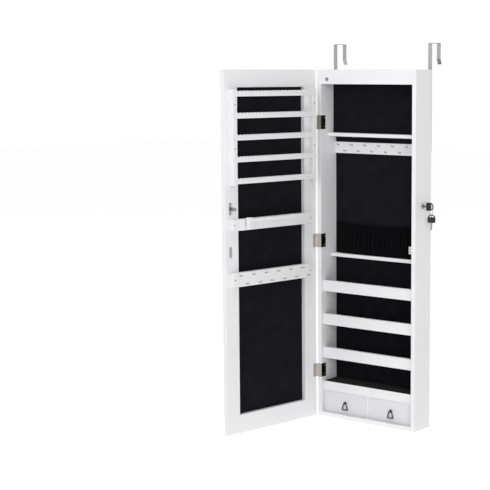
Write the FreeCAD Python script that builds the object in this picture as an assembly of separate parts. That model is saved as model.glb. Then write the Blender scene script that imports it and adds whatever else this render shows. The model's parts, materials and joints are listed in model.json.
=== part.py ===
"""A wall or over-door jewelry cabinet: a shallow white case behind a full-height mirror door.

The case is drawn with X to the right from its left side, Y back from its front edges and Z up
from its underside. The door is drawn closed, then swung open about its hinge pins. At the end
everything is moved so that the origin lies at the middle of the case's rear face.
"""
import FreeCAD
import Part

import math
import os

V = FreeCAD.Vector

# ---------------------------------------------------------------- driving sizes, millimetres
# Case
CASE_WIDTH = 400.0
CASE_HEIGHT = 1200.0
CASE_DEPTH = 94.0
BOARD = 15.0                 # sides, top and bottom
BACK_SHEET = 4.0
LINING = 2.0                 # black felt board in front of the back sheet
TOP_RAIL_HEIGHT = 33.5
EDGE_EASE = 0.8              # rounding of the boards' front edges
FIT = 0.3                    # air between a moving piece and what it slides or rests on

# Fittings between the sides, heights measured to each piece's underside
UPPER_SHELF_Z = 973.5
UPPER_SHELF_DEPTH = 46.0
SLAT = 12.0                  # thickness of the two thin shelves
SLAT_ROUND = 2.0
BROOCH_PAD = 19.0            # thickness of the pinning pad above the upper shelf
BROOCH_PAD_CROWN = 2.5
NECK_PLATE_Z = 914.5
NECK_PLATE_HEIGHT = 38.5
NECK_PLATE = 5.0
CASE_HOOK_INSET = 15.8       # from the sides to the outer hooks
POUCH_SHELF_Z = 556.0
POUCH_SHELF_DEPTH = 29.0
POUCH_HEIGHT = 106.0
POUCH_TOP_BULGE = 10.0
POUCH_BASE_BULGE = 20.0
POUCH_END = 5.0              # how far the pouch stands out at its two ends
POUCH_SIDE_AIR = 1.0
CLOTH = 1.5
FRONT_RECESS = 16.0          # shelf lips and drawers stand this far behind the front edges
LIP = 12.0
LIP_HEIGHT = 37.5
LIP_ROUND = 1.5
SHELF = 9.0
SHELF_Z = (204.0, 322.0, 439.0)
DECK_TOP_Z = 122.0
DECK_LIP_HEIGHT = 32.5
DIVIDER = 8.0

# Door
DOOR_GAP = 2.0
DOOR_FRAME = 17.0
MIRROR = 3.0
MIRROR_INSET = 1.0
MIRROR_BEVEL = 1.2
DOOR_STILE = 54.0
DOOR_TOP_RAIL = 57.0
DOOR_BOTTOM_RAIL = 62.5
REBATE = 8.0                 # how far the door's backing laps behind its frame
BACKING = 1.6
FELT = 1.0
DOOR_OPEN = 100.0            # degrees between the stored pose and closed

# Earring rack on the door
RACK_Z = 826.0
RACK_DROP = 63.0             # from the door's top to the strips
RACK_STRIP = 17.0
RACK_PROUD = 23.0
RACK_INSET = 17.5            # from the door's edges to the strips
RACK_BEVEL = 1.0
BAR_COUNT = 5
BAR = 3.0
BAR_HEIGHT = 18.5
BAR_TOP_MARGIN = 4.5         # from the strips' ends to the outer bars
BAR_FOOT_MARGIN = 6.0
NOTCH_PITCH = 15.0
NOTCH_WIDTH = 2.6            # at the mouth, tapering to half of it
NOTCH_DEPTH = 4.0
NOTCH_MARGIN = 7.5           # from the strips to the first notch

# Bracelet holder and necklace plate on the door
DOOR_PLATE = 15.0
DOOR_PLATE_LEFT = 33.0
DOOR_PLATE_RIGHT_INSET = 19.5
DOOR_PLATE_ROUND = 1.2
PLATE_SCREW_LEFT = 6.5       # from the plate's ends to its screws
PLATE_SCREW_RIGHT = 8.0
BRACELET_PLATE_Z = 679.0
BRACELET_PLATE_HEIGHT = 37.5
BRACELET_BAR = 5.0
BRACELET_BAR_HEIGHT = 12.5
BRACELET_GAP = 12.0          # between the plate's face and the back of the bar
BRACELET_SPACER_LEFT = 74.0
BRACELET_BLOCK = 18.0
BRACELET_BAR_ABOVE = 0.5     # how far the bar's top stands over the plate's
BRACELET_STOP_INSET = 52.5   # from the plate's free end
BRACELET_STOP_RAISE = 2.5
BRACELET_STOP_HEIGHT = 39.5
BRACELET_STOP_DEPTH = 12.0
BRACELET_STOP_ROUND = 1.5
DOOR_NECK_PLATE_Z = 494.0
DOOR_NECK_PLATE_HEIGHT = 47.0
DOOR_HOOK_LEFT = 53.25
DOOR_HOOK_INSET = 27.5       # from the plate's free end to the last hook
DOOR_HOOKS = 6               # in each of the two rows
HOOK_ROW_LOW = 8.5           # rows, above the plates' lower edges
HOOK_ROW_HIGH_CASE = 28.5
HOOK_ROW_HIGH_DOOR = 36.7
CASE_HOOKS = 7               # in the upper row

# Necklace hooks
HOOK_WIRE = 2.0
HOOK_REACH = 12.0
HOOK_RISE = 5.5
HOOK_BEND = 2.5
WIRE_SIDES = 6               # flats round a thin bent wire

# Hinges
HINGE_FOOT_Z = 161.5
HINGE_MIDDLE_Z = 616.0
HINGE_DROP = 178.0           # from the case's top to the middle of the upper hinge
HINGE_HEIGHT = 47.0
LEAF = 0.85
DOOR_LEAF_WIDTH = 14.5
WRAP_DEPTH = 25.0
KNUCKLE = 5.2
PIN = 2.4
PIN_FIT = 0.05
KNUCKLES = 3
KNUCKLE_AIR = 0.4            # between knuckles
KNUCKLE_CLEAR = 0.2          # from the barrel to the case's left face
KNUCKLE_ROOT = 0.5           # from the barrel to the leaves' flat part
HINGE_SCREW_SPREAD = 30.0
HINGE_SCREW_INSET = 8.0      # from the leaf's rear edge

# Over-door straps
STRAP_WIDTH = 14.0
STRAP = 2.0
STRAP_INSET_LEFT = 1.0       # from the case's left and right faces
STRAP_INSET_RIGHT = 0.0
STRAP_HOLE = 4.4
STRAP_HOLES = 4
STRAP_HOLE_PITCH = 70.0
STRAP_HOLE_MARGIN = 14.0
STRAP_BEND = 3.0
STRAP_LAP = 268.0            # how far the straps reach down the case
STRAP_RISE = 87.0            # and how far above it
HOOK_GAP = 51.0
LIP_LENGTH = 70.0
FLARE = 7.0
FLARE_HEIGHT = 18.0

# Drawers
DRAWER_FRONT = 10.0
DRAWER_SIDE = 6.0
DRAWER_FLOOR = 4.0
DRAWER_BOX_HEIGHT = 58.0
DRAWER_BACK_AIR = 4.0
DRAWER_LAP = 1.0             # how far the front reaches past its box at each side
PULL_WIRE = 3.6
PULL_WIDTH = 29.0
PULL_TOP_WIDTH = 12.5
PULL_HEIGHT = 27.0
PULL_BEND = 2.6
PULL_SIDES = 8               # flats round the ring's wire
PULL_PIVOT_Z = 54.0
PULL_STANDOFF = 2.0          # between a hanging ring and the drawer's face
EYE_BORE = 4.4
EYE_WALL = 1.4
EYE_WIDTH = 4.0
EYE_ROSE = 11.0
EYE_ROSE_THICK = 1.0

# Lock, keeper and keys
LOCK_Y = 45.5
LOCK_Z = 753.0
LOCK_FLANGE = 21.0
LOCK_FLANGE_THICK = 2.0
LOCK_BARREL = 16.0
LOCK_NUT = 20.0
LOCK_NUT_THICK = 2.6
LOCK_FLANGE_BEVEL = 0.8
LOCK_THREAD_END = 1.0        # barrel past the nut
PLUG = 10.0
PLUG_FIT = 0.05
PLUG_PROUD = 0.4
PLUG_SQUARE = 6.0
PLUG_END = 8.0
PLUG_END_THICK = 1.6
KEY_SLOT_DEPTH = 14.0
CAM = 1.5
CAM_HUB = 16.0
CAM_REACH = 28.0
CAM_ARM = 7.0
CAM_OFFSET = 5.0             # the arm stands this far behind the lock's axis
CAM_NOSE = 5.0
KEY_HEAD_LENGTH = 28.0
KEY_HEAD_WIDTH = 27.0
KEY_HEAD = 4.0
KEY_HOLE_CHAMFER = 1.5
KEY_FOOT = 2.5
KEY_TIP = 1.6
KEY_BLADE_WIDTH = 7.0
KEY_BLADE = 2.0
KEY_BLADE_LENGTH = 24.0
KEY_HOLE_LONG = 14.0
KEY_HOLE_WIDE = 5.0
KEY_HOLE_FROM_END = 7.5
KEY_STANDOFF = 11.0          # from the lock's face to the inserted key's head
KEY_RING = 25.0
KEY_RING_WIRE = 1.6
KEY_RING_SIDES = 24
KEY_RING_TURN = 15.0         # how far the hanging ring has turned about the vertical
KEEPER_INSET = 20.5          # from the case's right face to the plate's middle
KEEPER_DROP = 2.0            # below the lock's axis
KEEPER_PLATE_WIDTH = 9.0
KEEPER_PLATE_HEIGHT = 40.0
KEEPER = 1.5
KEEPER_REACH = 29.0
KEEPER_TONGUE_HEIGHT = 12.0
KEEPER_LIP = 4.0
KEEPER_CORNER = 2.0
KEEPER_TONGUE_OFFSET = 2.5   # from the plate's middle to the tongue's left face

# Magnetic catch and door switch
CATCH_Z = 597.0
CATCH_HEIGHT = 24.5
CATCH_WIDTH = 11.0
CATCH_DEPTH = 15.0
CATCH_AIR = 0.8              # between its poles and the closed door's strike
CATCH_POLE = 0.5             # how far the poles stand out of the housing
CATCH_POLE_THICK = 3.0
CATCH_POLE_INSET = 2.0
CATCH_ROUND = 1.0
STRIKE_INSET = 21.0
STRIKE_WIDTH = 10.0
STRIKE_HEIGHT = 36.0
STRIKE = 1.0
SWITCH_X = 40.5
SWITCH_DROP = 17.0           # below the top board
SWITCH_BEZEL = 13.0
SWITCH_BEZEL_THICK = 0.7
SWITCH_BARREL = 11.0
SWITCH_FLOOR = 2.0
SWITCH_BUTTON = 8.0
SWITCH_BUTTON_PROUD = 1.5
SWITCH_TRAVEL = 1.2
SWITCH_DEPTH = 9.0

SCREW_HEAD = 5.0
SCREW_HEAD_HEIGHT = 1.0
SCREW_CROWN = 3.4
SCREW_SIDES = 12
FLUSH_HEAD_HEIGHT = 0.3

# ---------------------------------------------------------------- sizes worked out from them
INNER_LEFT = BOARD
INNER_RIGHT = CASE_WIDTH - BOARD
INNER_TOP = CASE_HEIGHT - BOARD
BACK_Y = CASE_DEPTH - BACK_SHEET
LINED_Y = BACK_Y - LINING    # the black face inside the case
DOOR_IN_Y = -DOOR_GAP        # the door's inner face when closed
DOOR_OUT_Y = DOOR_IN_Y - DOOR_FRAME
KNUCKLE_R = KNUCKLE / 2
PIN_X = -KNUCKLE_R - KNUCKLE_CLEAR
PIN_Y = -DOOR_GAP / 2
DRAWER_TOP_Z = DECK_TOP_Z - DECK_LIP_HEIGHT - 2 * FIT
DRAWER_Z = BOARD + FIT
LOCK_FACE_X = CASE_WIDTH + LOCK_FLANGE_THICK
KEEPER_X = CASE_WIDTH - KEEPER_INSET
STRIKE_X = CASE_WIDTH - STRIKE_INSET
SWITCH_Z = INNER_TOP - SWITCH_DROP
HINGE_Z = (HINGE_FOOT_Z, HINGE_MIDDLE_Z, CASE_HEIGHT - HINGE_DROP)
STRAP_BOTTOM_Z = CASE_HEIGHT - STRAP_LAP
STRAP_TOP_Z = CASE_HEIGHT + STRAP_RISE
CASE_HOOK_PITCH = (INNER_RIGHT - INNER_LEFT - 2 * CASE_HOOK_INSET) / (CASE_HOOKS - 1)
DOOR_PLATE_LENGTH = CASE_WIDTH - DOOR_PLATE_LEFT - DOOR_PLATE_RIGHT_INSET
DOOR_PLATE_RIGHT = DOOR_PLATE_LEFT + DOOR_PLATE_LENGTH
DOOR_HOOK_PITCH = (DOOR_PLATE_RIGHT - DOOR_HOOK_INSET - DOOR_HOOK_LEFT) / (DOOR_HOOKS - 0.5)
BRACELET_STOP_RIGHT = DOOR_PLATE_RIGHT - BRACELET_STOP_INSET
BRACELET_STOP_Z = BRACELET_PLATE_Z + BRACELET_STOP_RAISE
RACK_HEIGHT = CASE_HEIGHT - RACK_DROP - RACK_Z
RACK_BAR_LENGTH = CASE_WIDTH - 2 * RACK_INSET
BAR_PITCH = (RACK_HEIGHT - BAR_TOP_MARGIN - BAR_FOOT_MARGIN - BAR_HEIGHT) / (BAR_COUNT - 1)
RACK_STRIPS = {"rack_strip_hinge": RACK_INSET, "rack_strip_free": CASE_WIDTH - RACK_INSET - RACK_STRIP}
STRAPS = {"strap_left": STRAP_INSET_LEFT, "strap_right": CASE_WIDTH - STRAP_INSET_RIGHT - STRAP_WIDTH}

PARTS = {}


def keep(name, shape, swings=False):
    """File one piece, swung open with the door when it rides on it."""
    if swings:
        shape.rotate(V(PIN_X, PIN_Y, 0), V(0, 0, 1), -DOOR_OPEN)
    shape.translate(V(-CASE_WIDTH / 2, -CASE_DEPTH, -CASE_HEIGHT / 2))
    PARTS[name] = shape


# ---------------------------------------------------------------- general shapes
def block(low, high):
    """A box between two corners."""
    size = V(*high) - V(*low)
    return Part.makeBox(size.x, size.y, size.z, V(*low))


def rod(radius, start, end):
    """A round bar between two points."""
    axis = V(*end) - V(*start)
    return Part.makeCylinder(radius, axis.Length, V(*start), axis)


def eased(shape, radius, wanted):
    """Round the straight edges whose midpoint passes the test."""
    edges = [e for e in shape.Edges if wanted(e.valueAt((e.FirstParameter + e.LastParameter) / 2))]
    return shape.makeFillet(radius, edges)


def bevelled(shape, size, wanted):
    """Bevel the straight edges whose midpoint passes the test."""
    edges = [e for e in shape.Edges if wanted(e.valueAt((e.FirstParameter + e.LastParameter) / 2))]
    return shape.makeChamfer(size, edges)


def prism(points, thickness):
    """A flat outline pushed along the thickness vector."""
    wire = Part.makePolygon([V(*p) for p in points] + [V(*points[0])])
    return Part.Face(wire).extrude(V(*thickness))


def cut_corners(points, reach, closed=False):
    """Replace each corner of a path by two, one on either side of it."""
    path = [V(*p) for p in points]
    count = len(path)
    out = []
    for i, corner in enumerate(path):
        if not closed and i in (0, count - 1):
            out.append(corner)
            continue
        back = (path[i - 1] - corner).normalize()
        ahead = (path[(i + 1) % count] - corner).normalize()
        out += [corner + back * reach, corner + ahead * reach]
    return out


def bent_wire(points, diameter, sides, closed=False):
    """Wire of a many-sided section along a path of straight runs, mitred where they meet."""
    path = Part.makePolygon(points + [points[0]] if closed else points)
    start, along = points[0], points[1] - points[0]
    if closed:
        start = (points[0] + points[1]) / 2
        path = Part.makePolygon([start] + points[1:] + [points[0], start])
    ring = Part.makeCircle(diameter / 2, start, along)
    corners = ring.discretize(sides + 1)
    section = Part.makePolygon(corners)
    sweep = Part.BRepOffsetAPI.MakePipeShell(path)
    sweep.setTransitionMode(1)
    sweep.add(section)
    sweep.build()
    sweep.makeSolid()
    return sweep.shape()


def screw_head(at, direction, height, crown):
    """A many-sided screw head seated on a face, narrowing to its crown."""
    foot, axis = V(*at), V(*direction)
    rims = []
    for centre, width in ((foot, SCREW_HEAD), (foot + axis * height, crown)):
        rim = Part.makeCircle(width / 2, centre, axis)
        rims.append(Part.makePolygon(rim.discretize(SCREW_SIDES + 1)))
    return Part.makeLoft(rims, True, True)


def domed_screw(at, direction):
    return screw_head(at, direction, SCREW_HEAD_HEIGHT, SCREW_CROWN)


def flush_screw(at, direction):
    return screw_head(at, direction, FLUSH_HEAD_HEIGHT, SCREW_HEAD)


# ---------------------------------------------------------------- the case
def front_edge(point):
    """Is a point of the case on its front face?"""
    return abs(point.y) < 1e-6


def make_carcass():
    left = eased(block((0, 0, 0), (BOARD, CASE_DEPTH, CASE_HEIGHT)), EDGE_EASE, front_edge)
    right = eased(block((INNER_RIGHT, 0, 0), (CASE_WIDTH, CASE_DEPTH, CASE_HEIGHT)), EDGE_EASE, front_edge)
    bore = rod(LOCK_BARREL / 2, (INNER_RIGHT, LOCK_Y, LOCK_Z), (CASE_WIDTH, LOCK_Y, LOCK_Z))
    keep("side_panel_left", left)
    keep("side_panel_right", right.cut(bore))

    for name, low in (("top_board", INNER_TOP), ("bottom_board", 0.0)):
        keep(name, block((INNER_LEFT, 0, low), (INNER_RIGHT, BACK_Y, low + BOARD)))
    keep("back_panel", block((INNER_LEFT, BACK_Y, 0), (INNER_RIGHT, CASE_DEPTH, CASE_HEIGHT)))
    keep("back_lining", block((INNER_LEFT, LINED_Y, BOARD), (INNER_RIGHT, BACK_Y, INNER_TOP)))

    rail = block((INNER_LEFT, 0, INNER_TOP - TOP_RAIL_HEIGHT), (INNER_RIGHT, BOARD, INNER_TOP))
    seat = rod(SWITCH_BARREL / 2, (SWITCH_X, 0, SWITCH_Z), (SWITCH_X, BOARD, SWITCH_Z))
    keep("top_rail", rail.cut(seat))


def make_upper_fittings():
    pad_z = UPPER_SHELF_Z + SLAT
    keep("upper_shelf", slat(UPPER_SHELF_Z, UPPER_SHELF_DEPTH))

    # the pinning pad fills the bay above, its face softly crowned at the rim
    pad = block((INNER_LEFT, LINED_Y - BROOCH_PAD, pad_z), (INNER_RIGHT, LINED_Y, INNER_TOP))
    face = LINED_Y - BROOCH_PAD
    keep("brooch_pad", eased(pad, BROOCH_PAD_CROWN, lambda p: abs(p.y - face) < 1e-6))

    plate_y = LINED_Y - NECK_PLATE
    plate = block((INNER_LEFT, plate_y, NECK_PLATE_Z),
                  (INNER_RIGHT, LINED_Y, NECK_PLATE_Z + NECK_PLATE_HEIGHT))
    keep("necklace_plate_case", plate)
    high = NECK_PLATE_Z + HOOK_ROW_HIGH_CASE
    low = NECK_PLATE_Z + HOOK_ROW_LOW
    first = CASE_WIDTH / 2 - CASE_HOOK_PITCH * (CASE_HOOKS - 1) / 2
    hooks = []
    for k in range(CASE_HOOKS):
        hooks.append(necklace_hook(first + CASE_HOOK_PITCH * k, plate_y, high))
    for k in range(CASE_HOOKS - 1):
        hooks.append(necklace_hook(first + CASE_HOOK_PITCH * (k + 0.5), plate_y, low))
    keep("necklace_hooks_case", Part.makeCompound(hooks))


def slat(z, depth):
    """A thin shelf between the sides, its front edge rounded over."""
    front = LINED_Y - depth
    board = block((INNER_LEFT, front, z), (INNER_RIGHT, LINED_Y, z + SLAT))
    return eased(board, SLAT_ROUND, lambda p: abs(p.y - front) < 1e-6 and abs(p.x - CASE_WIDTH / 2) < 1e-6)


def necklace_hook(x, y, z, out=-1.0):
    """A wire hook that leaves a face square and turns up at its end."""
    tip_y = y + out * HOOK_REACH
    path = cut_corners([(x, y, z), (x, tip_y, z), (x, tip_y, z + HOOK_RISE)], HOOK_BEND)
    return bent_wire(path, HOOK_WIRE, WIRE_SIDES)


def pouch_section(z, bulge, inset, back):
    """The pouch's outline at one height: short ends and one long arc for the front cloth."""
    left = INNER_LEFT + POUCH_SIDE_AIR + inset
    right = INNER_RIGHT - POUCH_SIDE_AIR - inset
    corner_y = LINED_Y - POUCH_END + inset
    front_y = LINED_Y - bulge + inset
    middle = CASE_WIDTH / 2
    back_y = LINED_Y + back
    arc = Part.Arc(V(left, corner_y, z), V(middle, front_y, z), V(right, corner_y, z)).toShape()
    sides = Part.makePolygon([V(right, corner_y, z), V(right, back_y, z), V(left, back_y, z),
                              V(left, corner_y, z)])
    return Part.Wire([arc] + sides.Edges)


def make_pouch():
    """An open-topped cloth pocket on the lining, fuller at its foot than at its elastic rim."""
    floor = POUCH_SHELF_Z + SLAT
    rim = floor + POUCH_HEIGHT
    outside = Part.makeLoft([pouch_section(floor, POUCH_BASE_BULGE, 0, 0),
                             pouch_section(rim, POUCH_TOP_BULGE, 0, 0)], True, True)
    # the hollow runs out through the rim and through the open back
    lean = (POUCH_BASE_BULGE - POUCH_TOP_BULGE) / POUCH_HEIGHT
    above = CLOTH
    hollow = Part.makeLoft([pouch_section(floor + CLOTH, POUCH_BASE_BULGE - lean * CLOTH, CLOTH, 1.0),
                            pouch_section(rim + above, POUCH_TOP_BULGE - lean * above, CLOTH, 1.0)],
                           True, True)
    keep("pouch", outside.cut(hollow))
    keep("pouch_shelf", slat(POUCH_SHELF_Z, POUCH_SHELF_DEPTH))


def make_shelves():
    """Three open trays: a board with a tall lip glued to its front edge."""
    lip_back = FRONT_RECESS + LIP
    for number, z in enumerate(SHELF_Z, 1):
        board = block((INNER_LEFT, lip_back, z), (INNER_RIGHT, LINED_Y, z + SHELF))
        lip = block((INNER_LEFT, FRONT_RECESS, z), (INNER_RIGHT, lip_back, z + LIP_HEIGHT))
        top = z + LIP_HEIGHT
        lip = eased(lip, LIP_ROUND, lambda p: abs(p.z - top) < 1e-6 and abs(p.x - CASE_WIDTH / 2) < 1e-6)
        keep("tray_%d" % number, board.fuse(lip).removeSplitter())

    # the deck over the drawers hangs its lip downward instead
    lip_foot = DECK_TOP_Z - DECK_LIP_HEIGHT
    board = block((INNER_LEFT, lip_back, DECK_TOP_Z - SHELF), (INNER_RIGHT, LINED_Y, DECK_TOP_Z))
    lip = block((INNER_LEFT, FRONT_RECESS, lip_foot), (INNER_RIGHT, lip_back, DECK_TOP_Z))
    keep("drawer_deck", board.fuse(lip).removeSplitter())
    half = DIVIDER / 2
    middle = CASE_WIDTH / 2
    under_lip = block((middle - half, FRONT_RECESS, BOARD), (middle + half, lip_back, lip_foot))
    under_deck = block((middle - half, lip_back, BOARD), (middle + half, LINED_Y, DECK_TOP_Z - SHELF))
    keep("drawer_divider", under_lip.fuse(under_deck).removeSplitter())


def make_catch():
    """A magnetic catch inside the right side, and the steel plate it pulls on the door."""
    left = INNER_RIGHT - CATCH_WIDTH
    poles = DOOR_IN_Y + STRIKE + CATCH_AIR
    front = poles + CATCH_POLE
    body = block((left, front, CATCH_Z), (INNER_RIGHT, front + CATCH_DEPTH, CATCH_Z + CATCH_HEIGHT))
    body = eased(body, CATCH_ROUND, lambda p: abs(p.x - left) < 1e-6)
    half = CATCH_POLE_THICK / 2
    for share in (0.3, 0.7):
        z = CATCH_Z + CATCH_HEIGHT * share
        pole_right = INNER_RIGHT - CATCH_POLE_INSET
        body = body.fuse(block((left + CATCH_POLE_INSET, poles, z - half), (pole_right, front, z + half)))
    keep("magnetic_catch", body.removeSplitter())

    half = STRIKE_WIDTH / 2
    low = CATCH_Z + CATCH_HEIGHT / 2 - STRIKE_HEIGHT / 2 + half
    high = low + STRIKE_HEIGHT - 2 * half
    face = DOOR_IN_Y + STRIKE
    plate = block((STRIKE_X - half, DOOR_IN_Y, low), (STRIKE_X + half, face, high))
    ends = [rod(half, (STRIKE_X, DOOR_IN_Y, z), (STRIKE_X, face, z)) for z in (low, high)]
    keep("strike_plate", plate.fuse(ends).removeSplitter(), swings=True)


def make_switch():
    """The door switch in the top rail: a bezel with a sprung round button."""
    at = lambda y: (SWITCH_X, y, SWITCH_Z)
    barrel_r = SWITCH_BARREL / 2
    bore_r = SWITCH_BUTTON / 2 + FIT
    flange = rod(SWITCH_BEZEL / 2, at(-SWITCH_BEZEL_THICK), at(0))
    body = flange.fuse(rod(barrel_r, at(0), at(SWITCH_DEPTH)))
    well = rod(bore_r, at(-SWITCH_BEZEL_THICK), at(SWITCH_DEPTH - SWITCH_FLOOR))
    keep("switch_body", body.cut(well).removeSplitter())
    foot = SWITCH_DEPTH - SWITCH_FLOOR - SWITCH_TRAVEL - FIT
    keep("switch_button", rod(SWITCH_BUTTON / 2, at(-SWITCH_BUTTON_PROUD), at(foot)))


# ---------------------------------------------------------------- over-door straps
def strap_hole_z(number):
    return STRAP_BOTTOM_Z + STRAP_HOLE_MARGIN + STRAP_HOLE_PITCH * number


def make_straps():
    """Two flat steel straps up the back edges of the sides, each bent over as a door hook."""
    near = CASE_DEPTH
    far = near + STRAP + HOOK_GAP
    tail_z = STRAP_TOP_Z - LIP_LENGTH
    bend_z = tail_z + FLARE_HEIGHT
    inner_bend = STRAP_BEND - STRAP
    under = STRAP_TOP_Z - STRAP
    for name, left in STRAPS.items():
        outer = [(left, near, STRAP_BOTTOM_Z), (left, near, STRAP_TOP_Z), (left, far + STRAP, STRAP_TOP_Z),
                 (left, far + STRAP, bend_z), (left, far + STRAP + FLARE, tail_z)]
        inner = [(left, far + FLARE, tail_z), (left, far, bend_z), (left, far, under),
                 (left, near + STRAP, under), (left, near + STRAP, STRAP_BOTTOM_Z)]
        strap = prism(outer + inner, (STRAP_WIDTH, 0, 0))
        bends = {(near, STRAP_TOP_Z): STRAP_BEND, (far + STRAP, STRAP_TOP_Z): STRAP_BEND,
                 (near + STRAP, under): inner_bend, (far, under): inner_bend}
        for (y, z), radius in bends.items():
            strap = eased(strap, radius, lambda p: abs(p.y - y) < 1e-6 and abs(p.z - z) < 1e-6)
        # a row of screw holes up the leg, so that it can be set higher or lower
        middle = left + STRAP_WIDTH / 2
        for k in range(STRAP_HOLES):
            z = strap_hole_z(k)
            strap = strap.cut(rod(STRAP_HOLE / 2, (middle, near, z), (middle, near + STRAP, z)))
        keep(name, strap)


# ---------------------------------------------------------------- the door
def make_door_frame():
    low_y, high_y = DOOR_OUT_Y, DOOR_IN_Y
    left, right = DOOR_STILE, CASE_WIDTH - DOOR_STILE
    foot, head = DOOR_BOTTOM_RAIL, CASE_HEIGHT - DOOR_TOP_RAIL
    backing = block((left - REBATE, low_y, foot - REBATE), (right + REBATE, low_y + BACKING, head + REBATE))
    pieces = {
        "door_stile_hinge": block((0, low_y, 0), (left, high_y, CASE_HEIGHT)),
        "door_stile_free": block((right, low_y, 0), (CASE_WIDTH, high_y, CASE_HEIGHT)),
        "door_rail_top": block((left, low_y, head), (right, high_y, CASE_HEIGHT)),
        "door_rail_bottom": block((left, low_y, 0), (right, high_y, foot)),
    }
    free_edge = lambda p: abs(p.x - CASE_WIDTH) < 1e-6 and abs(p.y - high_y) < 1e-6
    pieces["door_stile_free"] = eased(pieces["door_stile_free"], EDGE_EASE, free_edge)
    for name, shape in pieces.items():
        keep(name, shape.cut(backing), swings=True)
    keep("door_backing", backing, swings=True)
    felt = block((left, low_y + BACKING, foot), (right, low_y + BACKING + FELT, head))
    keep("door_felt", felt, swings=True)

    # a frameless glass over the whole front, its rim bevelled
    glass = block((MIRROR_INSET, low_y - MIRROR, MIRROR_INSET),
                  (CASE_WIDTH - MIRROR_INSET, low_y, CASE_HEIGHT - MIRROR_INSET))
    rim = [e for e in glass.Edges if abs(e.CenterOfMass.y - (low_y - MIRROR)) < 1e-6]
    keep("mirror", glass.makeChamfer(MIRROR_BEVEL, rim), swings=True)


def bar_z(number):
    """Underside of one earring bar, counted from the top."""
    return RACK_Z + RACK_HEIGHT - BAR_TOP_MARGIN - BAR_HEIGHT - BAR_PITCH * number


def make_earring_rack():
    """Two upright strips on the stiles with five notched bars let into their faces."""
    face = DOOR_IN_Y + RACK_PROUD
    middle_z = RACK_Z + RACK_HEIGHT / 2
    long_edge = lambda p: abs(p.y - face) < 1e-6 and abs(p.z - middle_z) < 1e-6
    for name, left in RACK_STRIPS.items():
        strip = block((left, DOOR_IN_Y, RACK_Z), (left + RACK_STRIP, face, RACK_Z + RACK_HEIGHT))
        strip = bevelled(strip, RACK_BEVEL, long_edge)
        for number in range(BAR_COUNT):
            z = bar_z(number)
            strip = strip.cut(block((left, face - BAR, z), (left + RACK_STRIP, face, z + BAR_HEIGHT)))
        keep(name, strip, swings=True)
    bars = [earring_bar(face, bar_z(number)) for number in range(BAR_COUNT)]
    keep("earring_bars", Part.makeCompound(bars), swings=True)


def earring_bar(face, z):
    """A bar notched along its top edge for earring hooks, from strip to strip."""
    left, right = RACK_INSET, RACK_INSET + RACK_BAR_LENGTH
    top = z + BAR_HEIGHT
    bar = block((left, face - BAR, z), (right, face, top))
    span = RACK_BAR_LENGTH - 2 * (RACK_STRIP + NOTCH_MARGIN)
    gaps = int(span / NOTCH_PITCH)
    first = CASE_WIDTH / 2 - NOTCH_PITCH * gaps / 2
    half = NOTCH_WIDTH / 2
    back = face - BAR
    cuts = []
    for k in range(gaps + 1):
        x = first + NOTCH_PITCH * k
        notch = [(x - half, back, top), (x - half / 2, back, top - NOTCH_DEPTH),
                 (x + half / 2, back, top - NOTCH_DEPTH), (x + half, back, top)]
        cuts.append(prism(notch, (0, BAR, 0)))
    return bar.cut(cuts)


def door_plate(z, height):
    """A board across the door from stile to stile, its ends eased."""
    face = DOOR_IN_Y + DOOR_PLATE
    board = block((DOOR_PLATE_LEFT, DOOR_IN_Y, z), (DOOR_PLATE_RIGHT, face, z + height))
    return eased(board, DOOR_PLATE_ROUND, lambda p: abs(p.y - face) < 1e-6)


def make_bracelet_holder():
    """A plate, a bar standing off it at the hinge end, and a tall stop on the bar's free end."""
    keep("bracelet_plate", door_plate(BRACELET_PLATE_Z, BRACELET_PLATE_HEIGHT), swings=True)
    plate_y = DOOR_IN_Y + DOOR_PLATE
    back_y = plate_y + BRACELET_GAP
    front_y = back_y + BRACELET_BAR
    top = BRACELET_PLATE_Z + BRACELET_PLATE_HEIGHT + BRACELET_BAR_ABOVE
    low = top - BRACELET_BAR_HEIGHT
    stop_left = BRACELET_STOP_RIGHT - BRACELET_BLOCK
    spacer_right = BRACELET_SPACER_LEFT + BRACELET_BLOCK
    bar = block((BRACELET_SPACER_LEFT, back_y, low), (stop_left, front_y, top))
    spacer = block((BRACELET_SPACER_LEFT, plate_y, low), (spacer_right, back_y, top))
    keep("bracelet_bar", bar.fuse(spacer).removeSplitter(), swings=True)

    stop = block((stop_left, front_y - BRACELET_STOP_DEPTH, BRACELET_STOP_Z),
                 (BRACELET_STOP_RIGHT, front_y, BRACELET_STOP_Z + BRACELET_STOP_HEIGHT))
    keep("bracelet_stop", eased(stop, BRACELET_STOP_ROUND, lambda p: abs(p.y - front_y) < 1e-6), swings=True)


def make_door_necklace_plate():
    keep("necklace_plate_door", door_plate(DOOR_NECK_PLATE_Z, DOOR_NECK_PLATE_HEIGHT), swings=True)
    face = DOOR_IN_Y + DOOR_PLATE
    low = DOOR_NECK_PLATE_Z + HOOK_ROW_LOW
    high = DOOR_NECK_PLATE_Z + HOOK_ROW_HIGH_DOOR
    hooks = []
    for k in range(DOOR_HOOKS):
        hooks.append(necklace_hook(DOOR_HOOK_LEFT + DOOR_HOOK_PITCH * k, face, low, 1.0))
        hooks.append(necklace_hook(DOOR_HOOK_LEFT + DOOR_HOOK_PITCH * (k + 0.5), face, high, 1.0))
    keep("necklace_hooks_door", Part.makeCompound(hooks), swings=True)


# ---------------------------------------------------------------- hinges
def knuckle_spans(z):
    """Heights of each knuckle of one hinge, from the bottom up."""
    pitch = HINGE_HEIGHT / KNUCKLES
    low = z - HINGE_HEIGHT / 2
    air = KNUCKLE_AIR / 2
    return [(low + pitch * k + air, low + pitch * (k + 1) - air) for k in range(KNUCKLES)]


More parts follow.
